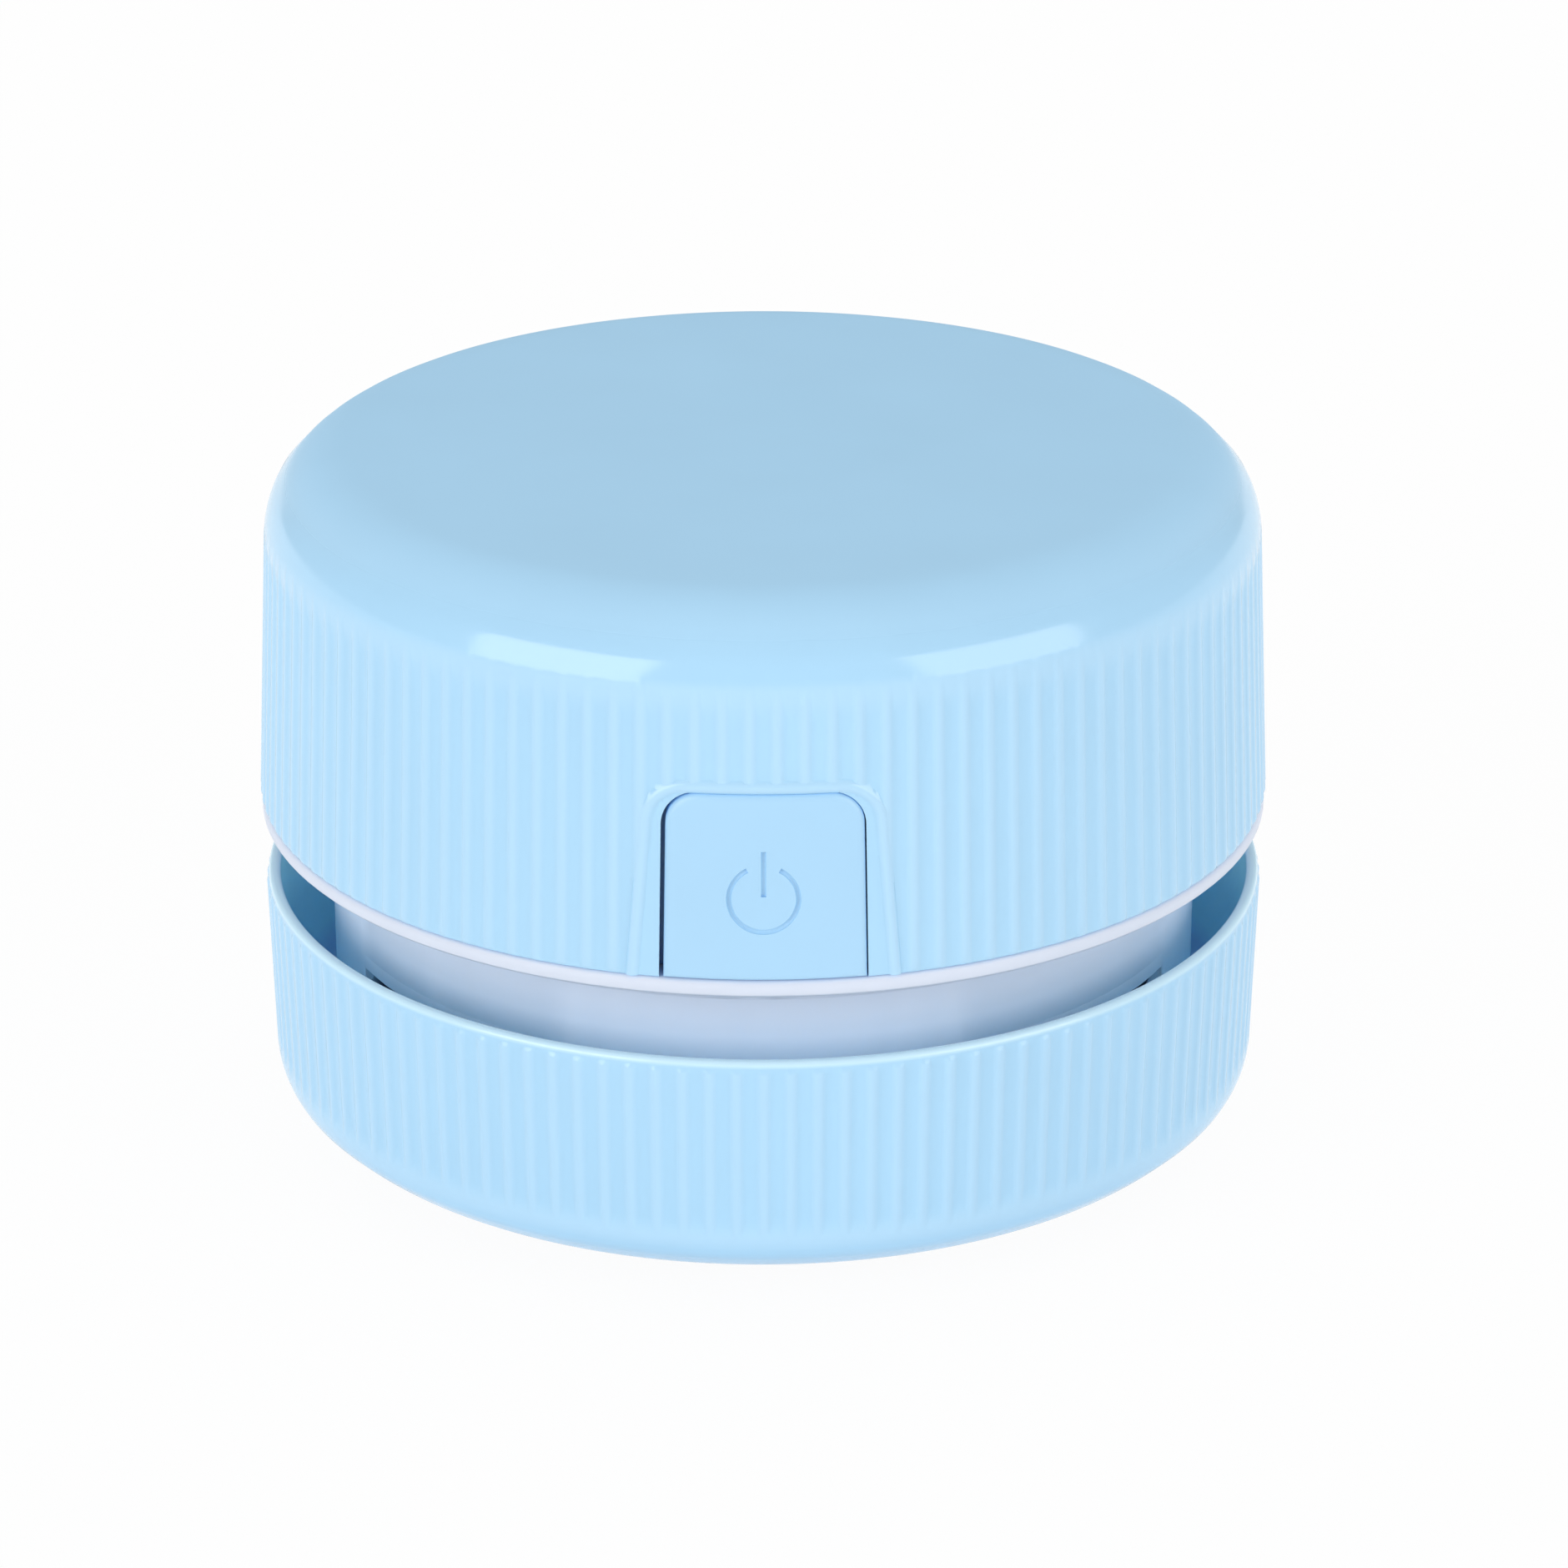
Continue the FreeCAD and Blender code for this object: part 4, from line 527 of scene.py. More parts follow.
FINISHES: dict[str, Finish] = {
    "blue_shell": ShellPlastic("sky_blue_shell", SKY_BLUE, 0.13,
                               valley_radius=SHELL_VALLEY, growth=SHELL_GROWTH),
    "blue_button": MouldedPlastic("sky_blue_button", display(173, 216, 246), 0.34, grain_depth=0.003),
    "blue_cup": CupPlastic("sky_blue_cup", SKY_BLUE, 0.16, valley_radius=CUP_VALLEY, growth=CUP_GROWTH),
    "white_plastic": WhitePlastic("milk_white_plastic", display(218, 226, 241), 0.46),
    "black_plastic": MouldedPlastic("black_moulding", display(30, 30, 33), 0.42, grain_depth=0.006),
    "fan_plastic": MouldedPlastic("dark_fan_plastic", display(62, 65, 70), 0.4, grain_depth=0.005),
    "screw_steel": PlatedMetal("zinc_screw", display(196, 198, 204), 0.32),
    "shaft_steel": PlatedMetal("ground_steel", display(186, 188, 192), 0.22, lay=Lay.ALONG_Z),
    "can_steel": PlatedMetal("drawn_can", display(204, 206, 210), 0.3, lay=Lay.ALONG_Z),
    "copper": WoundWire("enamelled_copper", display(214, 118, 62), 0.26),
    "contact_brass": PlatedMetal("plain_brass", display(222, 190, 118), 0.3, lay=Lay.ALONG_X),
    "magnet": MouldedPlastic("dark_ferrite", display(52, 52, 55), 0.6, grain_depth=0.01),
    "cell_wrap": ShrinkSleeve("cell_sleeve", display(62, 112, 178), 0.22),
    "board_green": SolderMask("green_solder_mask", display(26, 92, 56), 0.3),
    "light_lens": MouldedPlastic("red_lens", display(216, 52, 44), 0.12, see_through=0.4, coat=0.5),
    "seal_rubber": SoftRubber("grey_silicone", display(150, 154, 160), 0.55),
    "filter_cloth": FeltCloth("white_felt", display(240, 240, 236), 0.9),
    "bristles": NylonBristle("dark_nylon", display(54, 56, 60), 0.35),
}


# Mesh tools


@dataclass(frozen=True)
class Corner:
    """One corner of a turned outline, in millimetres.

    rows is the number of faces on the straight run that leads to it, and arc_rows
    the number on its round."""

    radius: float
    level: float
    round: float = 0.0
    rows: int = 1
    arc_rows: int = 5


def outline(corners: Sequence[Corner], closed: bool) -> list[Point]:
    """Points along an outline whose corners may be rounded.

    Args:
        corners: The corners in order.
        closed: Whether the last corner joins the first.

    Returns:
        Pairs of radius and level, in millimetres.
    """
    spots = [Vector((corner.radius, corner.level)) for corner in corners]
    bends: list[list[Vector]] = []
    for index, (corner, spot) in enumerate(zip(corners, spots)):
        if corner.round == 0:
            bends.append([spot])
            continue
        back = (spots[index - 1] - spot).normalized()
        ahead = (spots[(index + 1) % len(spots)] - spot).normalized()
        half = back.angle(ahead) / 2
        middle = spot + (back + ahead).normalized() * corner.round / math.sin(half)
        start = spot + back * corner.round / math.tan(half) - middle
        end = spot + ahead * corner.round / math.tan(half) - middle
        turn = start.angle_signed(end)
        arc = []
        for step in range(corner.arc_rows + 1):
            swing = Matrix.Rotation(-turn * step / corner.arc_rows, 2)
            arc.append(middle + swing @ start)
        bends.append(arc)
    points = [tuple(point) for point in bends[0]]
    followers = list(range(1, len(corners))) + ([0] if closed else [])
    for index in followers:
        start = bends[index - 1][-1]
        end = bends[index][0]
        rows = corners[index].rows
        points += [tuple(start.lerp(end, step / rows)) for step in range(1, rows + 1)]
        if index:
            points += [tuple(point) for point in bends[index][1:]]
    return points[:-1] if closed else points


def turned(points: Sequence[Point], steps: int, closed: bool) -> bmesh.types.BMesh:
    """Turn an outline round the Z axis, starting at the front.

    One sector is spun and then doubled until the turn is full, which is much quicker
    than one spin with many steps.

    Args:
        points: Pairs of radius and level, in millimetres.
        steps: Columns of faces in the full turn, best a number that halves many times.
        closed: Whether the last point joins the first.

    Returns:
        A closed mesh with its faces pointing outwards.
    """
    bm = bmesh.new()
    verts = [bm.verts.new((0.0, -radius * MM, level * MM)) for radius, level in points]
    pairs = list(zip(verts, verts[1:]))
    if closed:
        pairs.append((verts[-1], verts[0]))
    edges = [bm.edges.new(pair) for pair in pairs]
    sweep = FULL_TURN
    doublings = 0
    while steps % 2 == 0:
        steps //= 2
        sweep /= 2
        doublings += 1
    bmesh.ops.spin(bm, geom=verts + edges, cent=(0, 0, 0), axis=(0, 0, 1), dvec=(0, 0, 0),
                   angle=sweep, steps=steps)
    for _ in range(doublings):
        copied = bmesh.ops.duplicate(bm, geom=bm.verts[:] + bm.edges[:] + bm.faces[:])
        moved = [item for item in copied["geom"] if isinstance(item, bmesh.types.BMVert)]
        bmesh.ops.rotate(bm, verts=moved, cent=(0, 0, 0), matrix=Matrix.Rotation(sweep, 3, "Z"))
        sweep *= 2
    bmesh.ops.remove_doubles(bm, verts=bm.verts, dist=MERGE_DISTANCE)
    bmesh.ops.recalc_face_normals(bm, faces=bm.faces)
    return bm


def smoothstep(low: float, high: float, value: float) -> float:
    """0 below low, 1 above high, and a smooth rise between them."""
    share = min(max((value - low) / (high - low), 0.0), 1.0)
    return share * share * (3 - 2 * share)


def front_angle(place: Vector) -> float:
    """Angle round the Z axis from the front, positive to the right."""
    return math.atan2(place.x, -place.y)


def from_front(radius: float, angle: float, level: float) -> Vector:
    """The place at a radius, an angle from the front and a level, all in metres."""
    return Vector((radius * math.sin(angle), -radius * math.cos(angle), level))


def new_object(name: str, bm: bmesh.types.BMesh) -> bpy.types.Object:
    """Make an object at the origin from a mesh under construction, and free that mesh."""
    mesh = bpy.data.meshes.new(name)
    bm.to_mesh(mesh)
    bm.free()
    made = bpy.data.objects.new(name, mesh)
    bpy.context.scene.collection.objects.link(made)
    return made


class Carving(Enum):
    """What a form does to the piece that it is carved with."""

    CUT = "DIFFERENCE"
    ADD = "UNION"


def carve(piece: bpy.types.Object, carving: Carving, form: bmesh.types.BMesh) -> None:
    """Cut solids out of a piece, or add them to it.

    Args:
        piece: The object that changes.
        carving: Whether the solids are cut out or added.
        form: The solids, which are freed.
    """
    tool = new_object("carving_tool", form)
    modifier = piece.modifiers.new("carve", "BOOLEAN")
    modifier.operation = carving.value
    modifier.solver = "MANIFOLD"
    modifier.object = tool
    graph = bpy.context.evaluated_depsgraph_get()
    carved = bpy.data.meshes.new_from_object(piece.evaluated_get(graph))
    piece.modifiers.clear()
    piece.data = carved
    bpy.data.objects.remove(tool)


def joined(first: bmesh.types.BMesh, second: bmesh.types.BMesh) -> bmesh.types.BMesh:
    """Put two forms that stand apart into the first, and free the second."""
    carrier = bpy.data.meshes.new("carrier")
    second.to_mesh(carrier)
    second.free()
    first.from_mesh(carrier)
    bpy.data.meshes.remove(carrier)
    return first


@dataclass(frozen=True)
class TabOutline:
    """A tab seen from the front: wider at its foot, with two round upper corners, in millimetres."""

    top_half: float
    foot_half: float
    foot: float
    top: float
    corner: float

    def outside(self, x: float, level: float) -> float:
        """How far a point lies outside the tab, or below zero inside it."""
        side = Vector((self.foot_half - self.top_half, self.foot - self.top)).normalized()
        past_side = (abs(x) - self.top_half) * -side.y + (level - self.top) * side.x
        past_top = level - self.top
        reach = Vector((max(past_side + self.corner, 0.0), max(past_top + self.corner, 0.0)))
        if reach.x > 0 and reach.y > 0:
            return reach.length - self.corner
        return max(past_side, past_top)

    def right_half(self, arc_steps: int) -> list[Point]:
        """Points from the foot's right end up the side and round to the middle of the top."""
        side = Vector((self.foot_half - self.top_half, self.foot - self.top)).normalized()
        corner = Vector((self.top_half, self.top))
        half = side.angle(Vector((-1.0, 0.0))) / 2
        reach = self.corner / math.tan(half)
        middle = corner + (side + Vector((-1.0, 0.0))).normalized() * self.corner / math.sin(half)
        start = corner + side * reach - middle
        end = corner + Vector((-reach, 0.0)) - middle
        turn = start.angle_signed(end)
        points = [(self.foot_half, self.foot)]
        for step in range(arc_steps + 1):
            points.append(tuple(middle + Matrix.Rotation(-turn * step / arc_steps, 2) @ start))
        points.append((0.0, self.top))
        return points

    def line(self, spacing: float, arc_steps: int = 12) -> list[Point]:
        """Points from the foot's right end over the top to its left end, evenly spaced on the straights."""
        half = self.right_half(arc_steps)
        whole = half + [(-x, level) for x, level in reversed(half[:-1])]
        return spaced(whole, spacing)

    def loop(self, spacing: float, arc_steps: int = 12) -> list[Point]:
        """Points all round the tab, its foot included."""
        around = self.line(spacing, arc_steps)
        return spaced(around + [around[0]], spacing)[:-1]


def spaced(points: Sequence[Point], spacing: float) -> list[Point]:
    """Divide the long runs of a line into steps of at most this many millimetres."""
    result = [points[0]]
    for start, end in zip(points, points[1:]):
        count = max(1, math.ceil(math.dist(start, end) / spacing))
        result += [tuple(Vector(start).lerp(Vector(end), step / count)) for step in range(1, count + 1)]
    return result


def prism(corners: Sequence[Point], front: float, back: float) -> bmesh.types.BMesh:
    """A prism along Y from an outline of x and level pairs, all in millimetres."""
    bm = bmesh.new()
    face = bm.faces.new([bm.verts.new((x * MM, front * MM, level * MM)) for x, level in corners])
    grown = bmesh.ops.extrude_face_region(bm, geom=[face])
    moved = [item for item in grown["geom"] if isinstance(item, bmesh.types.BMVert)]
    bmesh.ops.translate(bm, verts=moved, vec=(0, (back - front) * MM, 0))
    bmesh.ops.recalc_face_normals(bm, faces=bm.faces)
    return bm


def add_bar(bm: bmesh.types.BMesh, radius: float, low: Vector, high: Vector, segments: int = 32) -> None:
    """Add a closed round bar between two places, sizes in millimetres."""
    run = (high - low) * MM
    turn = run.to_track_quat("Z", "Y").to_matrix().to_4x4()
    place = Matrix.Translation((low + high) / 2 * MM) @ turn
    bmesh.ops.create_cone(bm, cap_ends=True, segments=segments, radius1=radius * MM, radius2=radius * MM,
                          depth=run.length, matrix=place)


# Sub-assemblies


class SubAssembly:
    """Pieces that are built together."""

    def build(self) -> list[bpy.types.Object]:
        """Build and dress the pieces."""
        raise NotImplementedError

    @staticmethod
    def settle(piece: bpy.types.Object, slot: str, body: str, stands_for: Sequence[str] = ()) -> bpy.types.Object:
        """Dress a finished piece and let it move with its body.

        Args:
            piece: The finished object.
            slot: The record's material slot, which also names its finish.
            body: The CAD body that it moves with.
            stands_for: CAD nodes that it replaces.

        Returns:
            The same piece.
        """
        piece.data.shade_smooth()
        piece.data.set_sharp_from_angle(angle=SHARP_ANGLE)
        piece.data.materials.clear()
        piece.data.materials.append(FINISHES[slot].material())
        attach(piece, body)
        if stands_for:
            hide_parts(*stands_for)
        return piece


@dataclass
class RibBand:
    """Upright ribs round a turned wall, in millimetres.

    The shares are places in one pitch, measured from a rib's crest, and the crest's
    height at each of them."""

    count: int = 124
    height: float = 0.2
    phase: float = 0.0
    place_shares: tuple[float, ...] = (0.0, 0.11, 0.2, 0.29, 0.5, 0.71, 0.8, 0.89)
    height_shares: tuple[float, ...] = (1.0, 0.95, 0.5, 0.05, 0.0, 0.05, 0.5, 0.95)

    @property
    def columns(self) -> int:
        """Columns of faces in the full turn."""
        return self.count * len(self.place_shares)

    def raise_on(self, bm: bmesh.types.BMesh, outside: float,
                 strength: Callable[[float, float, float], tuple[float, float]]) -> None:
        """Move the columns of a turned wall to the ribs' places and raise the ribs.

        Args:
            bm: The turned mesh, with one column of vertices for each place.
            outside: Vertices at a smaller radius stay at their radius.
            strength: The share of the height that ribs get, and the share that all of the wall gets,
                at an x, y and level.
        """
        shares = len(self.place_shares)
        shift = round(self.phase * shares)
        column_angle = FULL_TURN / self.columns
        pitch = FULL_TURN / self.count
        for vert in bm.verts:
            radius = vert.co.xy.length
            if radius < MERGE_DISTANCE:
                continue
            column = round(front_angle(vert.co) / column_angle) - shift
            rib, place = divmod(column, shares)
            angle = (rib + self.place_shares[place] + self.phase) * pitch
            if radius > outside * MM:
                level = vert.co.z / MM
                spot = from_front(radius / MM, angle, level)
                rib_share, wall_share = strength(spot.x, spot.y, level)
                radius += self.height * MM * max(self.height_shares[place] * rib_share, wall_share)
            vert.co = from_front(radius, angle, vert.co.z)


@dataclass
class TopShell(SubAssembly):
    """Ribbed shell with the button's notch and its bead, the port's opening and the screw posts."""

    ribs: RibBand = field(default_factory=lambda: RibBand(phase=0.5))
    edge: float = 30.0
    top: float = 60.0
    crest_radius: float = 43.0
    corner_radius: float = 41.46
    shoulder_round: float = 7.4
    wall: float = 2.0
    edge_fade: float = 0.5
    fade_start: float = 51.0
    fade_end: float = 54.2
    notch: TabOutline = TabOutline(7.9, 8.22, 30.0, 45.6, 2.85)
    bead: TabOutline = TabOutline(8.9, 10.3, 29.4, 46.0, 3.2)
    bead_round: float = 0.62
    above_bead: float = 47.0
    below_bead: float = 44.0
    bead_sink: float = 0.33
    bead_lift: float = 0.06
    port_half: float = 2.84
    port_round: float = 1.98
    port_level: float = 36.03
    port_margin: float = 2.0
    port_steps: int = 12
    land_fade: tuple[float, float] = (-0.15, 0.25)
    foot_share: float = 0.2
    inner_margin: float = 0.6
    cut_depth: float = 6.0
    cut_margin: float = 1.0
    post_ring: float = 32.0
    post_radius: float = 3.0
    post_foot: float = 24.4
    pilot_radius: float = 1.15
    pilot_depth: float = 9.0

    def valley(self, level: float) -> float:
        """Radius of the drafted side between the ribs, in millimetres."""
        share = (level - self.edge) / (self.top - self.edge)
        return self.crest_radius - self.ribs.height + (self.corner_radius - self.crest_radius) * share

    def past_port(self, x: float, level: float) -> float:
        """How far a point lies outside the port's opening, in millimetres."""
        reach = max(abs(x) - self.port_half, 0.0)
        return math.hypot(reach, level - self.port_level) - self.port_round

    def rib_strength(self, x: float, y: float, level: float) -> tuple[float, float]:
        """Ribs rise from the edge, stop at the bead and at the port's land, and run into the shoulder."""
        if y < 0:
            past = self.bead.outside(x, level)
        else:
            past = self.past_port(x, level) - self.port_margin
        land = smoothstep(*self.land_fade, past)
        grown = smoothstep(self.edge, self.edge + self.edge_fade, level)
        foot = self.foot_share + (1 - self.foot_share) * grown
        return foot * land, smoothstep(self.fade_start, self.fade_end, level)

    def wall_mesh(self) -> bmesh.types.BMesh:
        """The shell's wall as one closed turned form."""
        foot = self.valley(self.edge)
        corner = self.valley(self.top)
        inner_round = self.shoulder_round - self.wall
        under = self.top - self.wall
        points = outline([
            Corner(0.0, self.top),
            Corner(corner, self.top, self.shoulder_round, rows=1, arc_rows=12),
            Corner(self.valley(self.fade_start), self.fade_start, rows=3),
            Corner(self.valley(self.above_bead), self.above_bead, rows=2),
            Corner(self.valley(self.below_bead), self.below_bead, rows=7),
            Corner(self.valley(self.edge + self.edge_fade), self.edge + self.edge_fade, rows=10),
            Corner(foot, self.edge, 0.15, rows=2, arc_rows=2),
            Corner(foot - self.wall, self.edge, rows=1),
            Corner(corner - self.wall, under, inner_round, rows=1, arc_rows=4),
            Corner(0.0, under, rows=1),
        ], False)
        return turned(points, self.ribs.columns, False)

    def build(self) -> list[bpy.types.Object]:
        """Build the shell and the bead round the button."""
        bm = self.wall_mesh()
        self.ribs.raise_on(bm, self.corner_radius - self.wall + self.inner_margin, self.rib_strength)
        shell = new_object("ribbed_top_shell", bm)
        opening = replace(self.notch, foot=self.edge - self.cut_margin)
        notch = prism(opening.loop(1.0), -self.crest_radius - self.cut_margin, -self.crest_radius + self.cut_depth)
        carve(shell, Carving.CUT, joined(notch, self.port_cutter()))
        carve(shell, Carving.ADD, joined(self.post_mesh(), self.bead_mesh()))
        return [self.settle(shell, "blue_shell", "upper", ["top_shell"])]

    def port_cutter(self) -> bmesh.types.BMesh:
        """A bar with round ends, to open the back for the charging port."""
        points = []
        for side in (1, -1):
            for step in range(self.port_steps + 1):
                angle = math.pi * (step / self.port_steps - 0.5)
                points.append((side * (self.port_half + self.port_round * math.cos(angle)),
                               self.port_level + side * self.port_round * math.sin(angle)))
        return prism(points, self.crest_radius - self.cut_depth, self.crest_radius + self.cut_margin)

    def post_mesh(self) -> bmesh.types.BMesh:
        """The four screw posts with their pilot holes."""
        bm = bmesh.new()
        for quarter in range(4):
            angle = FULL_TURN * (quarter + 0.5) / 4
            base = from_front(self.post_ring, angle, self.post_foot)
            head = Vector((base.x, base.y, self.top - self.wall / 2))
            before = set(bm.faces)
            add_bar(bm, self.post_radius, base, head, 32)
            foot = min(set(bm.faces) - before, key=lambda face: face.calc_center_median().z)
            bmesh.ops.inset_region(bm, faces=[foot], thickness=(self.post_radius - self.pilot_radius) * MM)
            bored = bmesh.ops.extrude_face_region(bm, geom=[foot])
            moved = [item for item in bored["geom"] if isinstance(item, bmesh.types.BMVert)]
            bmesh.ops.translate(bm, verts=moved, vec=(0, 0, self.pilot_depth * MM))
            bmesh.ops.delete(bm, geom=[foot], context="FACES_ONLY")
        return bm

    def bead_mesh(self) -> bmesh.types.BMesh:
        """The raised bead that runs round the button on the shell's side."""
        curve = bpy.data.curves.new("button_bead", "CURVE")
        curve.dimensions = "3D"
        curve.bevel_depth = self.bead_round * MM
        curve.bevel_resolution = 4
        curve.use_fill_caps = True
        line = self.bead.line(0.5)
        spline = curve.splines.new("POLY")
        spline.points.add(len(line) - 1)
        for point, (x, level) in zip(spline.points, line):
            depth = math.sqrt((self.valley(level) - self.bead_sink) ** 2 - x ** 2)
            point.co = (x * MM, -depth * MM, level * MM, 1.0)
        holder = bpy.data.objects.new("bead_curve", curve)
        bpy.context.scene.collection.objects.link(holder)
        graph = bpy.context.evaluated_depsgraph_get()
        mesh = bpy.data.meshes.new_from_object(holder.evaluated_get(graph))
        bpy.data.objects.remove(holder)
        bm = bmesh.new()
        bm.from_mesh(mesh)
        bmesh.ops.remove_doubles(bm, verts=bm.verts, dist=MERGE_DISTANCE)
        below = bmesh.ops.bisect_plane(bm, geom=bm.verts[:] + bm.edges[:] + bm.faces[:],
                                       plane_co=(0, 0, (self.edge + self.bead_lift) * MM),
                                       plane_no=(0, 0, -1), clear_outer=True)
        rims = [item for item in below["geom_cut"] if isinstance(item, bmesh.types.BMEdge)]
        bmesh.ops.holes_fill(bm, edges=rims, sides=0)
        bmesh.ops.recalc_face_normals(bm, faces=bm.faces)
        return bm


@dataclass
class PowerButton(SubAssembly):
    """Button tab with soft edges, a shallow finger dish, an engraved power sign, its keeper and stem."""

    face: TabOutline = TabOutline(7.67, 7.98, 30.06, 45.46, 2.62)
    face_shift: float = 0.12
    crest_radius: float = 42.95
    draft: float = 1.54 / 30.0
    edge_round: float = 0.4
    thickness: float = 3.8
    keeper_depth: float = 2.62
    keeper_share: float = 1.2
    sign_level: float = 36.85
    ring_radius: float = 2.72
    ring_gap: float = math.radians(28)
    bar_low: float = 0.15
    bar_high: float = 3.97
    stroke_round: float = 0.22
    stroke_sink: float = 0.03
    dish_radius: float = 5.2
    dish_depth: float = 0.22
    stem_radius: float = 2.2
    stem_front: float = 39.0
    stem_back: float = 37.34
    stem_level: float = 37.6
    face_shares: tuple[float, ...] = tuple(share / 16 for share in range(2, 15)) + (0.92,)
    back_shares: tuple[float, ...] = (0.8, 0.4, 0.1)
    edge_steps: int = 4
    stroke_segments: int = 10
    ring_steps: int = 56

    def surface_depth(self, x: float, level: float) -> float:
        """How far in front of the axis the uncut face lies, in millimetres."""
        radius = self.crest_radius - self.draft * (level - 30.0)
        return math.sqrt(radius ** 2 - x ** 2)

    def dish(self, x: float, level: float) -> float:
        """Depth of the finger dish, in millimetres."""
        share = math.hypot(x, level - self.sign_level) / self.dish_radius
        return self.dish_depth * (1 - smoothstep(0.0, 1.0, share))

    def bend(self, bm: bmesh.types.BMesh, dished: bool) -> None:
        """Wrap a form that was built flat onto the curved face; its y is the depth under the face."""
        for vert in bm.verts:
            x, level, depth = vert.co.x / MM + self.face_shift, vert.co.z / MM, vert.co.y / MM
            level = max(level, self.face.foot)
            sunk = self.dish(x, level) if dished and depth < self.keeper_depth / 2 else 0.0
            vert.co = Vector((x, depth + sunk - self.surface_depth(x, level), level)) * MM

    def stations(self) -> list[Point]:
        """Rings from the middle of the face over the edge to the middle of the back: share and depth."""
        middle_half = (self.face.top_half + self.face.foot_half) / 2
        soft = self.edge_round / middle_half
        rings = [(share, 0.0) for share in self.face_shares]
        for step in range(self.edge_steps + 1):
            angle = math.pi / 2 * step / self.edge_steps
            rings.append((1 - soft * (1 - math.sin(angle)), self.edge_round * (1 - math.cos(angle))))
        rings += [(1.0, self.keeper_depth), (self.keeper_share, self.keeper_depth)]
        return rings + [(share, self.thickness) for share in (self.keeper_share,) + self.back_shares]

    def tab_mesh(self) -> bmesh.types.BMesh:
        """The tab and its keeper as one closed form: one ring of edges, drawn out again and again."""
        centre = Vector((0.0, self.sign_level))
        rings = self.stations()
        share, depth = rings[0]
        bm = bmesh.new()
        verts = []
        for point in self.face.loop(0.5):
            spot = centre + (Vector(point) - centre) * share
            verts.append(bm.verts.new((spot.x * MM, depth * MM, spot.y * MM)))
        first = bm.faces.new(verts)
        edges = list(first.edges)
        pivot = Matrix.Translation((0, 0, -self.sign_level * MM))
        for next_share, next_depth in rings[1:]:
            drawn = bmesh.ops.extrude_edge_only(bm, edges=edges)["geom"]
            verts = [item for item in drawn if isinstance(item, bmesh.types.BMVert)]
            edges = [item for item in drawn if isinstance(item, bmesh.types.BMEdge)]
            factor = next_share / share
            bmesh.ops.scale(bm, verts=verts, vec=(factor, 1.0, factor), space=pivot)
            bmesh.ops.translate(bm, verts=verts, vec=(0, (next_depth - depth) * MM, 0))
            share, depth = next_share, next_depth
        bmesh.ops.contextual_create(bm, geom=edges)
        self.bend(bm, True)
        bmesh.ops.remove_doubles(bm, verts=bm.verts, dist=MERGE_DISTANCE)
        bmesh.ops.recalc_face_normals(bm, faces=bm.faces)
        return bm

    def sign_cutter(self) -> bmesh.types.BMesh:
        """Open ring and upright bar of a common power sign, as one cutter on the curved face."""
        bm = bmesh.new()
        sink = self.stroke_sink * MM
        circle = bmesh.ops.create_circle(bm, segments=self.stroke_segments, radius=self.stroke_round * MM,
                                         matrix=Matrix.Translation((self.ring_radius * MM, sink, 0.0)))
        edges = list({edge for vert in circle["verts"] for edge in vert.link_edges})
        start = math.pi / 2 - self.ring_gap
        bmesh.ops.rotate(bm, verts=circle["verts"], cent=(0, 0, 0), matrix=Matrix.Rotation(-start, 3, "Y"))
        bmesh.ops.spin(bm, geom=circle["verts"] + edges, cent=(0, 0, 0), axis=(0, 1, 0), dvec=(0, 0, 0),
                       angle=FULL_TURN - 2 * self.ring_gap, steps=self.ring_steps)
        ends = [edge for edge in bm.edges if edge.is_boundary]
        bmesh.ops.holes_fill(bm, edges=ends, sides=0)
        reach = self.bar_high - self.bar_low
        bmesh.ops.create_cone(bm, cap_ends=True, segments=self.stroke_segments,
                              radius1=self.stroke_round * MM, radius2=self.stroke_round * MM, depth=reach * MM,
                              matrix=Matrix.Translation((0, sink, (self.bar_low + reach / 2) * MM)))
        bmesh.ops.translate(bm, verts=bm.verts, vec=(0, 0, self.sign_level * MM))
        for vert in bm.verts:
            x, level, depth = vert.co.x / MM, vert.co.z / MM, vert.co.y / MM
            depth += self.dish(x, level)
            vert.co = Vector((x, depth - self.surface_depth(x, level), level)) * MM
        bmesh.ops.recalc_face_normals(bm, faces=bm.faces)
        return bm

    def build(self) -> list[bpy.types.Object]:
        """Build the button with its sign cut into it."""
        bm = self.tab_mesh()
        button = new_object("power_button_tab", bm)
        carve(button, Carving.CUT, self.sign_cutter())
        stem = bmesh.new()
        add_bar(stem, self.stem_radius, Vector((0, -self.stem_front, self.stem_level)),
                Vector((0, -self.stem_back, self.stem_level)))
        carve(button, Carving.ADD, stem)
        return [self.settle(button, "blue_button", "button", ["power_button"])]


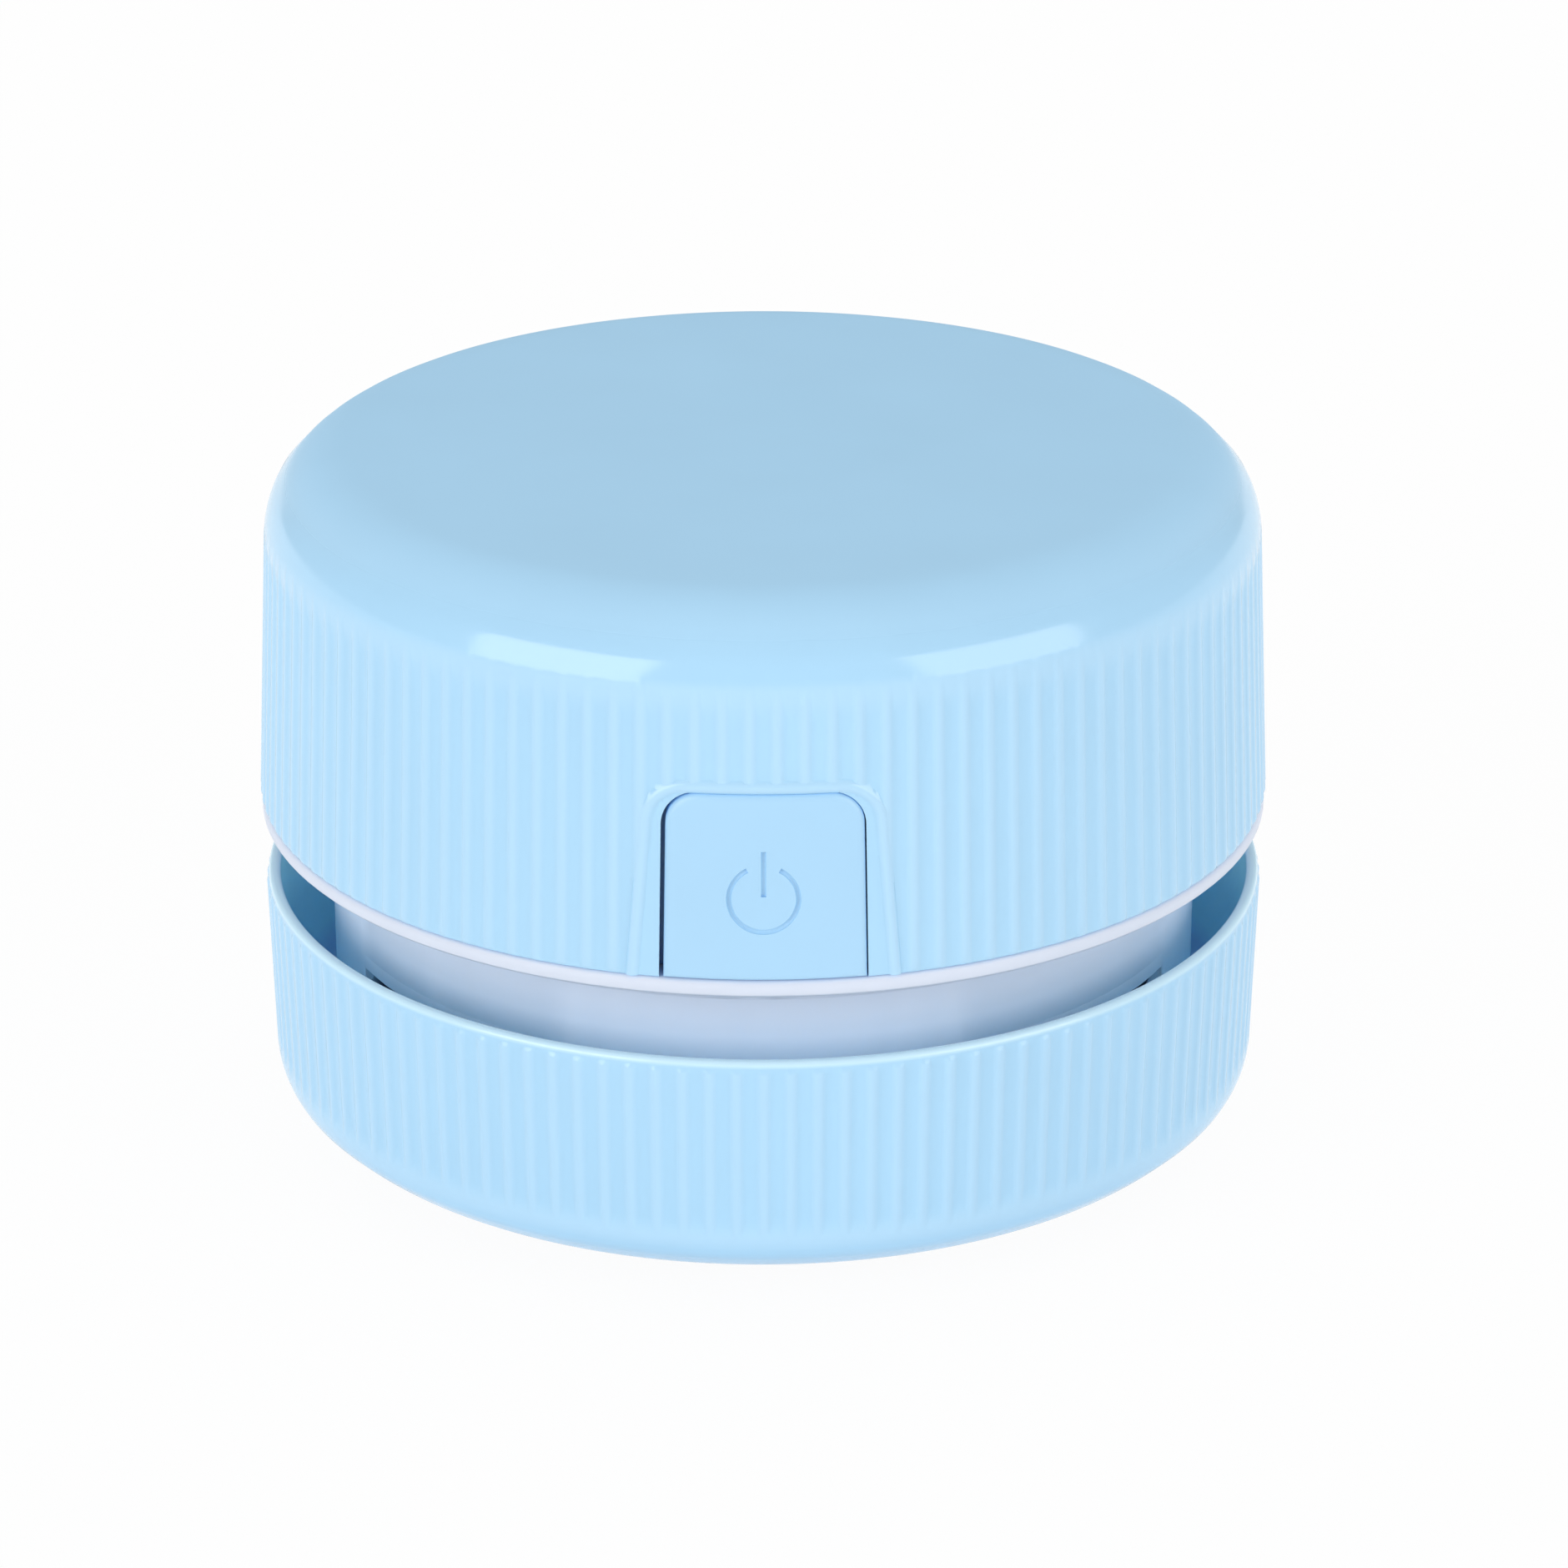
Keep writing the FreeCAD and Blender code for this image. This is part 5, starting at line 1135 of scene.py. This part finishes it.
@dataclass
class DustCup(SubAssembly):
    """Ribbed cup with its floor, the dust bowl's wall and four screw bosses."""

    ribs: RibBand = field(default_factory=RibBand)
    base: float = 3.0
    rim: float = 22.8
    foot_radius: float = 42.35
    rim_radius: float = 42.8
    foot_round: float = 4.2
    rim_round: float = 0.42
    wall: float = 1.0
    recess_radius: float = 35.2
    recess_top: float = 4.6
    floor: float = 5.8
    duct_hole: float = 9.4
    bowl_radius: float = 34.9
    bowl_wall: float = 1.5
    bowl_top: float = 9.4
    inner_bevel: float = 1.5
    rib_top: float = 22.3
    rib_fade: float = 0.6
    foot_fade: tuple[float, float] = (7.0, 8.5)
    above_foot: float = 9.0
    below_rim: float = 21.7
    inner_margin: float = 0.1
    boss_ring: float = 30.6
    boss_radius: float = 2.5
    boss_rise: float = 2.6
    boss_root: float = 0.6

    def valley(self, level: float) -> float:
        """Radius of the side between the ribs, in millimetres."""
        share = (level - self.base) / (self.rim - self.base)
        return self.foot_radius - self.ribs.height + (self.rim_radius - self.foot_radius) * share

    def rib_strength(self, x: float, y: float, level: float) -> tuple[float, float]:
        """Ribs end round under the rim and run into the foot."""
        under_rim = 1 - smoothstep(self.rib_top - self.rib_fade, self.rib_top, level)
        return under_rim, 1 - smoothstep(*self.foot_fade, level)

    def wall_mesh(self) -> bmesh.types.BMesh:
        """Floor, side and bowl wall as one closed turned form."""
        inner_rim = self.valley(self.rim) - self.wall
        inner_foot = self.valley(self.base) - self.wall
        bowl_in = self.bowl_radius - self.bowl_wall
        points = outline([
            Corner(self.duct_hole, self.recess_top),
            Corner(self.recess_radius, self.recess_top, rows=2),
            Corner(self.recess_radius, self.base),
            Corner(self.valley(self.base), self.base, self.foot_round, arc_rows=12),
            Corner(self.valley(self.above_foot), self.above_foot, rows=4),
            Corner(self.valley(self.below_rim), self.below_rim, rows=8),
            Corner(self.valley(self.rib_top), self.rib_top, rows=4),
            Corner(self.valley(self.rim), self.rim, self.rim_round, rows=2, arc_rows=6),
            Corner(inner_rim, self.rim, self.rim_round, arc_rows=6),
            Corner(inner_foot, self.floor + self.inner_bevel, rows=2),
            Corner(inner_foot - self.inner_bevel, self.floor, 0.5, arc_rows=3),
            Corner(self.bowl_radius, self.floor, 0.2, arc_rows=2),
            Corner(self.bowl_radius, self.bowl_top, 0.3, arc_rows=3),
            Corner(bowl_in, self.bowl_top, 0.3, arc_rows=3),
            Corner(bowl_in, self.floor, 0.4, arc_rows=3),
            Corner(self.duct_hole, self.floor, rows=2),
        ], True)
        return turned(points, self.ribs.columns, True)

    def build(self) -> list[bpy.types.Object]:
        """Build the cup."""
        bm = self.wall_mesh()
        self.ribs.raise_on(bm, self.foot_radius - self.wall + self.inner_margin, self.rib_strength)
        for quarter in range(4):
            base = from_front(self.boss_ring, FULL_TURN * (quarter + 0.5) / 4, self.floor - self.boss_root)
            add_bar(bm, self.boss_radius, base, base + Vector((0, 0, self.boss_rise + self.boss_root)), 40)
        return [self.settle(new_object("ribbed_dust_cup", bm), "blue_cup", "cup", ["dust_cup"])]


@dataclass
class SmoothedNodes(SubAssembly):
    """CAD pieces that show: each gets a merged copy, shaded smooth between its sharp edges.

    The chassis also gets a lintel in each exhaust window, as deep as the photograph shows it."""

    names: tuple[str, ...] = ("chassis", "base_plate", "fan_shroud", "filter_frame", "impeller", "seal_ring",
                              "battery_cell", "motor_can", "usb_socket")
    window_top: float = 20.1
    window_sweep: float = math.radians(38)
    lintel: float = 1.2
    collar_radius: float = 37.1
    collar_wall: float = 1.6

    def lintel_mesh(self) -> bmesh.types.BMesh:
        """Four bars that follow the collar and close the upper part of its windows."""
        inner = self.collar_radius - self.collar_wall
        low = self.window_top - self.lintel
        bm = bmesh.new()
        for quarter in range(4):
            start = FULL_TURN * (quarter + 0.5) / 4 - self.window_sweep / 2
            corners = ((inner, low), (self.collar_radius, low), (self.collar_radius, self.window_top),
                       (inner, self.window_top))
            verts = [bm.verts.new(from_front(radius * MM, start, level * MM)) for radius, level in corners]
            edges = [bm.edges.new(pair) for pair in zip(verts, verts[1:] + verts[:1])]
            bmesh.ops.spin(bm, geom=verts + edges, cent=(0, 0, 0), axis=(0, 0, 1), dvec=(0, 0, 0),
                           angle=self.window_sweep, steps=12)
        bmesh.ops.holes_fill(bm, edges=[edge for edge in bm.edges if edge.is_boundary], sides=0)
        bmesh.ops.recalc_face_normals(bm, faces=bm.faces)
        return bm

    def build(self) -> list[bpy.types.Object]:
        """Copy, merge and dress each piece."""
        slots = {row["node"]: row["material_slot"] for row in frame["record"]["subparts"]}
        bodies = {node: body for body, nodes in frame["record"]["behaviour"]["bodies"].items() for node in nodes}
        pieces = []
        for name in self.names:
            bm = bmesh.new()
            bm.from_mesh(frame["nodes"][name].data)
            bmesh.ops.remove_doubles(bm, verts=bm.verts, dist=MERGE_DISTANCE)
            if name == "chassis":
                bm = joined(bm, self.lintel_mesh())
            piece = self.settle(new_object(f"{name}_moulding", bm), slots[name], bodies[name], [name])
            evened = piece.modifiers.new("even_shading", "WEIGHTED_NORMAL")
            evened.keep_sharp = True
            pieces.append(piece)
        return pieces


@dataclass
class FilterPad(SubAssembly):
    """Felt disc that lies on the filter frame's spokes."""

    radius: float = 30.25
    low: float = 12.02
    thickness: float = 0.55
    quilt_depth: float = 0.16
    quilt_pitch: float = 4.0
    rings: int = 24
    columns: int = 144

    def build(self) -> list[bpy.types.Object]:
        """Build the pad with its pressed dimples."""
        middle = self.low + self.thickness / 2
        line = [(self.radius * ring / self.rings, middle) for ring in range(self.rings + 1)]
        bm = turned(line, self.columns, False)
        for vert in bm.verts:
            swell = math.cos(FULL_TURN * vert.co.x / MM / self.quilt_pitch)
            swell *= math.cos(FULL_TURN * vert.co.y / MM / self.quilt_pitch)
            vert.co.z += self.quilt_depth * MM * (swell + 1) / 2
        bmesh.ops.solidify(bm, geom=bm.faces, thickness=-self.thickness / 2 * MM)
        bmesh.ops.recalc_face_normals(bm, faces=bm.faces)
        pad = self.settle(new_object("filter_felt", bm), "filter_cloth", "filter", ["filter_cloth"])
        width = self.radius * 2 * MM
        math.pi * (self.radius * MM) ** 2
        return [pad]


@dataclass
class BrushRing(SubAssembly):
    """Tufts of fine bristles set in a ring round the inlet."""

    ring: float = 27.0
    tufts: int = 36
    root: float = 4.05
    bristle_root: float = 0.13
    bristle_tip: float = 0.09
    splay: float = 0.28
    layers: tuple[tuple[int, float], ...] = ((1, 0.0), (6, 0.42), (11, 0.86))
    turn_spread: float = 0.2
    tip_spread: tuple[float, float] = (-0.05, 0.1)
    shortest: float = 0.22
    seed: int = 7

    def build(self) -> list[bpy.types.Object]:
        """Build every bristle, each a little different."""
        dice = random.Random(self.seed)
        bm = bmesh.new()
        for tuft in range(self.tufts):
            angle = FULL_TURN * tuft / self.tufts + math.pi / 2
            centre = from_front(self.ring, angle, 0.0)
            for count, offset in self.layers:
                for number in range(count):
                    turn = FULL_TURN * number / count + dice.uniform(-self.turn_spread, self.turn_spread)
                    out = Vector((math.cos(turn), math.sin(turn), 0.0))
                    root = centre + out * offset + Vector((0, 0, self.root))
                    tip = centre + out * (offset + self.splay * offset + dice.uniform(*self.tip_spread))
                    tip.z = dice.uniform(0.0, self.shortest) if number else 0.0
                    self.add_bristle(bm, root, tip)
        return [self.settle(new_object("bristles", bm), "bristles", "cup", ["brush_tufts"])]

    def add_bristle(self, bm: bmesh.types.BMesh, root: Vector, tip: Vector) -> None:
        """Add one tapered bristle."""
        run = (root - tip) * MM
        turn = run.to_track_quat("Z", "Y").to_matrix().to_4x4()
        made = bmesh.ops.create_cone(bm, cap_ends=True, segments=5, radius1=self.bristle_tip * MM,
                                     radius2=self.bristle_root * MM, depth=run.length,
                                     matrix=Matrix.Translation((root + tip) / 2 * MM) @ turn)
        for vert in made["verts"]:
            vert.co.z = max(vert.co.z, 0.0)


# Stage


@dataclass(frozen=True)
class SoftBox:
    """A rectangular studio lamp aimed at the object."""

    name: str
    azimuth: float
    elevation: float
    distance: float
    width: float
    height: float
    watts: float
    glints: bool = True

    def build(self, aim: Vector) -> None:
        """Place the lamp. Azimuth is measured from the front, positive to the right, in degrees."""
        lamp = bpy.data.lights.new(self.name, "AREA")
        lamp.shape = "RECTANGLE"
        lamp.size = self.width
        lamp.size_y = self.height
        lamp.energy = self.watts
        holder = bpy.data.objects.new(self.name, lamp)
        holder.visible_glossy = self.glints
        bpy.context.scene.collection.objects.link(holder)
        level = math.radians(self.elevation)
        reach = from_front(self.distance * math.cos(level), math.radians(self.azimuth),
                           self.distance * math.sin(level))
        holder.location = aim + reach
        holder.rotation_euler = reach.to_track_quat("Z", "Y").to_euler()


@dataclass
class Studio:
    """Pale floor, plain soft light and the camera at the photograph's viewing angle."""

    view_distance: float = 0.430
    view_elevation: float = math.radians(22.71)
    aim_level: float = 0.030
    aim_right: float = 0.00177
    aim_down: float = 0.00123
    sensor: float = 36.0
    image_pixels: int = 1880
    focal_pixels: float = 6000.0
    horizon_light: float = 0.32
    zenith_light: float = 0.8
    backdrop_fade: float = 0.06
    dim_backdrop: float = 0.38
    matt_bounces: int = 12
    floor_half: float = 4.0
    paper_size: float = 40.0
    floor_tint: Colour = field(default=display(246, 246, 246))
    floor_lift: float = 0.95
    lamps: tuple[SoftBox, ...] = (
        SoftBox("left_box", -46, 18, 1.0, 0.72, 0.56, 4.35),
        SoftBox("right_box", 54, 18, 1.0, 0.72, 0.56, 3.5),
        SoftBox("left_back_box", -142, 18, 1.0, 0.9, 0.56, 1.9, glints=False),
        SoftBox("right_back_box", 142, 18, 1.0, 0.9, 0.56, 1.9, glints=False),
    )

    def build(self) -> None:
        """Set the floor, the world, the lamps and the camera."""
        self.build_floor()
        self.build_world()
        aim = Vector((0, 0, self.aim_level))
        for lamp in self.lamps:
            lamp.build(aim)
        self.build_camera(aim)
        bpy.context.scene.view_settings.view_transform = "Standard"
        bpy.context.scene.cycles.diffuse_bounces = self.matt_bounces

    def build_floor(self) -> None:
        """A wide pale floor, lifted towards white in view and in reflections, that keeps the shadow."""
        bm = bmesh.new()
        bmesh.ops.create_grid(bm, x_segments=1, y_segments=1, size=self.floor_half)
        floor = new_object("floor", bm)
        material = bpy.data.materials.new("pale_floor")
        material.use_nodes = True
        graph = Graph(material.node_tree)
        paper = graph.noise(graph.place(), self.paper_size, 3.0)
        colour = graph.blend_shades(paper, self.floor_tint, (1.0, 1.01))
        matt = graph.add("ShaderNodeBsdfDiffuse", {}, {"Color": colour})
        white = graph.add("ShaderNodeEmission", {}, {"Color": WHITE, "Strength": 1.0})
        seen = self.seen_rays(graph) * self.floor_lift
        mixed = graph.add("ShaderNodeMixShader", {}, {0: seen, 1: matt, 2: white})
        graph.add("ShaderNodeOutputMaterial", {}, {"Surface": mixed})
        floor.data.materials.append(material)

    @staticmethod
    def seen_rays(graph: Graph) -> Signal:
        """1 for rays from the camera, from gloss and through clear pieces."""
        camera = graph.add("ShaderNodeLightPath", output="Is Camera Ray")
        gloss = graph.add("ShaderNodeLightPath", output="Is Glossy Ray")
        clear = graph.add("ShaderNodeLightPath", output="Is Transmission Ray")
        return camera.larger(gloss).larger(clear)

    def build_world(self) -> None:
        """A soft sky. The camera sees it white, and gloss sees it turn dim above the floor."""
        world = bpy.data.worlds.new("studio")
        bpy.context.scene.world = world
        world.use_nodes = True
        graph = Graph(world.node_tree)
        where = graph.add("ShaderNodeTexCoord", output="Generated")
        height = graph.add("ShaderNodeSeparateXYZ", {}, {"Vector": where}, "Z").larger(0.0)
        light = self.horizon_light + height * height * (self.zenith_light - self.horizon_light)
        dim = 1 - height.ramp(0.0, self.backdrop_fade) * (1 - self.dim_backdrop)
        camera = graph.add("ShaderNodeLightPath", output="Is Camera Ray")
        glow = graph.add("ShaderNodeBackground", {}, {"Color": WHITE, "Strength": light})
        white = graph.add("ShaderNodeBackground", {}, {"Color": WHITE, "Strength": dim.larger(camera)})
        seen = self.seen_rays(graph)
        mixed = graph.add("ShaderNodeMixShader", {}, {0: seen, 1: glow, 2: white})
        graph.add("ShaderNodeOutputWorld", {}, {"Surface": mixed})

    def build_camera(self, aim: Vector) -> None:
        """Place the camera in front of the object, above it."""
        lens = bpy.data.cameras.new("camera")
        lens.sensor_width = self.sensor
        lens.lens = self.sensor * self.focal_pixels / self.image_pixels
        lens.clip_start = 0.01
        camera = bpy.data.objects.new("camera", lens)
        bpy.context.scene.collection.objects.link(camera)
        rise = math.sin(self.view_elevation)
        run = math.cos(self.view_elevation)
        camera.location = aim + Vector((0, -run, rise)) * self.view_distance
        target = aim + Vector((self.aim_right, 0, 0)) - Vector((0, rise, run)) * self.aim_down
        camera.rotation_euler = (camera.location - target).to_track_quat("Z", "Y").to_euler()
        bpy.context.scene.camera = camera


def dress_cad_nodes() -> None:
    """Give every CAD piece that stays the finish of its slot."""
    for row in frame["record"]["subparts"]:
        node = frame["nodes"][row["node"]]
        material = FINISHES[row["material_slot"]].material()
        if not node.material_slots:
            node.data.materials.append(material)
        for slot in node.material_slots:
            slot.material = material
        LOG.info("dressed %s", row["node"])


def main() -> None:
    """Build every sub-assembly, dress what stays of the CAD and set the stage."""
    logging.basicConfig(level=logging.INFO, format="%(name)s: %(message)s")
    dress_cad_nodes()
    assemblies = (TopShell(), PowerButton(), DustCup(), SmoothedNodes(), FilterPad(), BrushRing())
    for assembly in assemblies:
        for piece in assembly.build():
            LOG.info("built %s with %d faces", piece.name, len(piece.data.polygons))
    Studio().build()


if __name__ == "__main__":
    main()
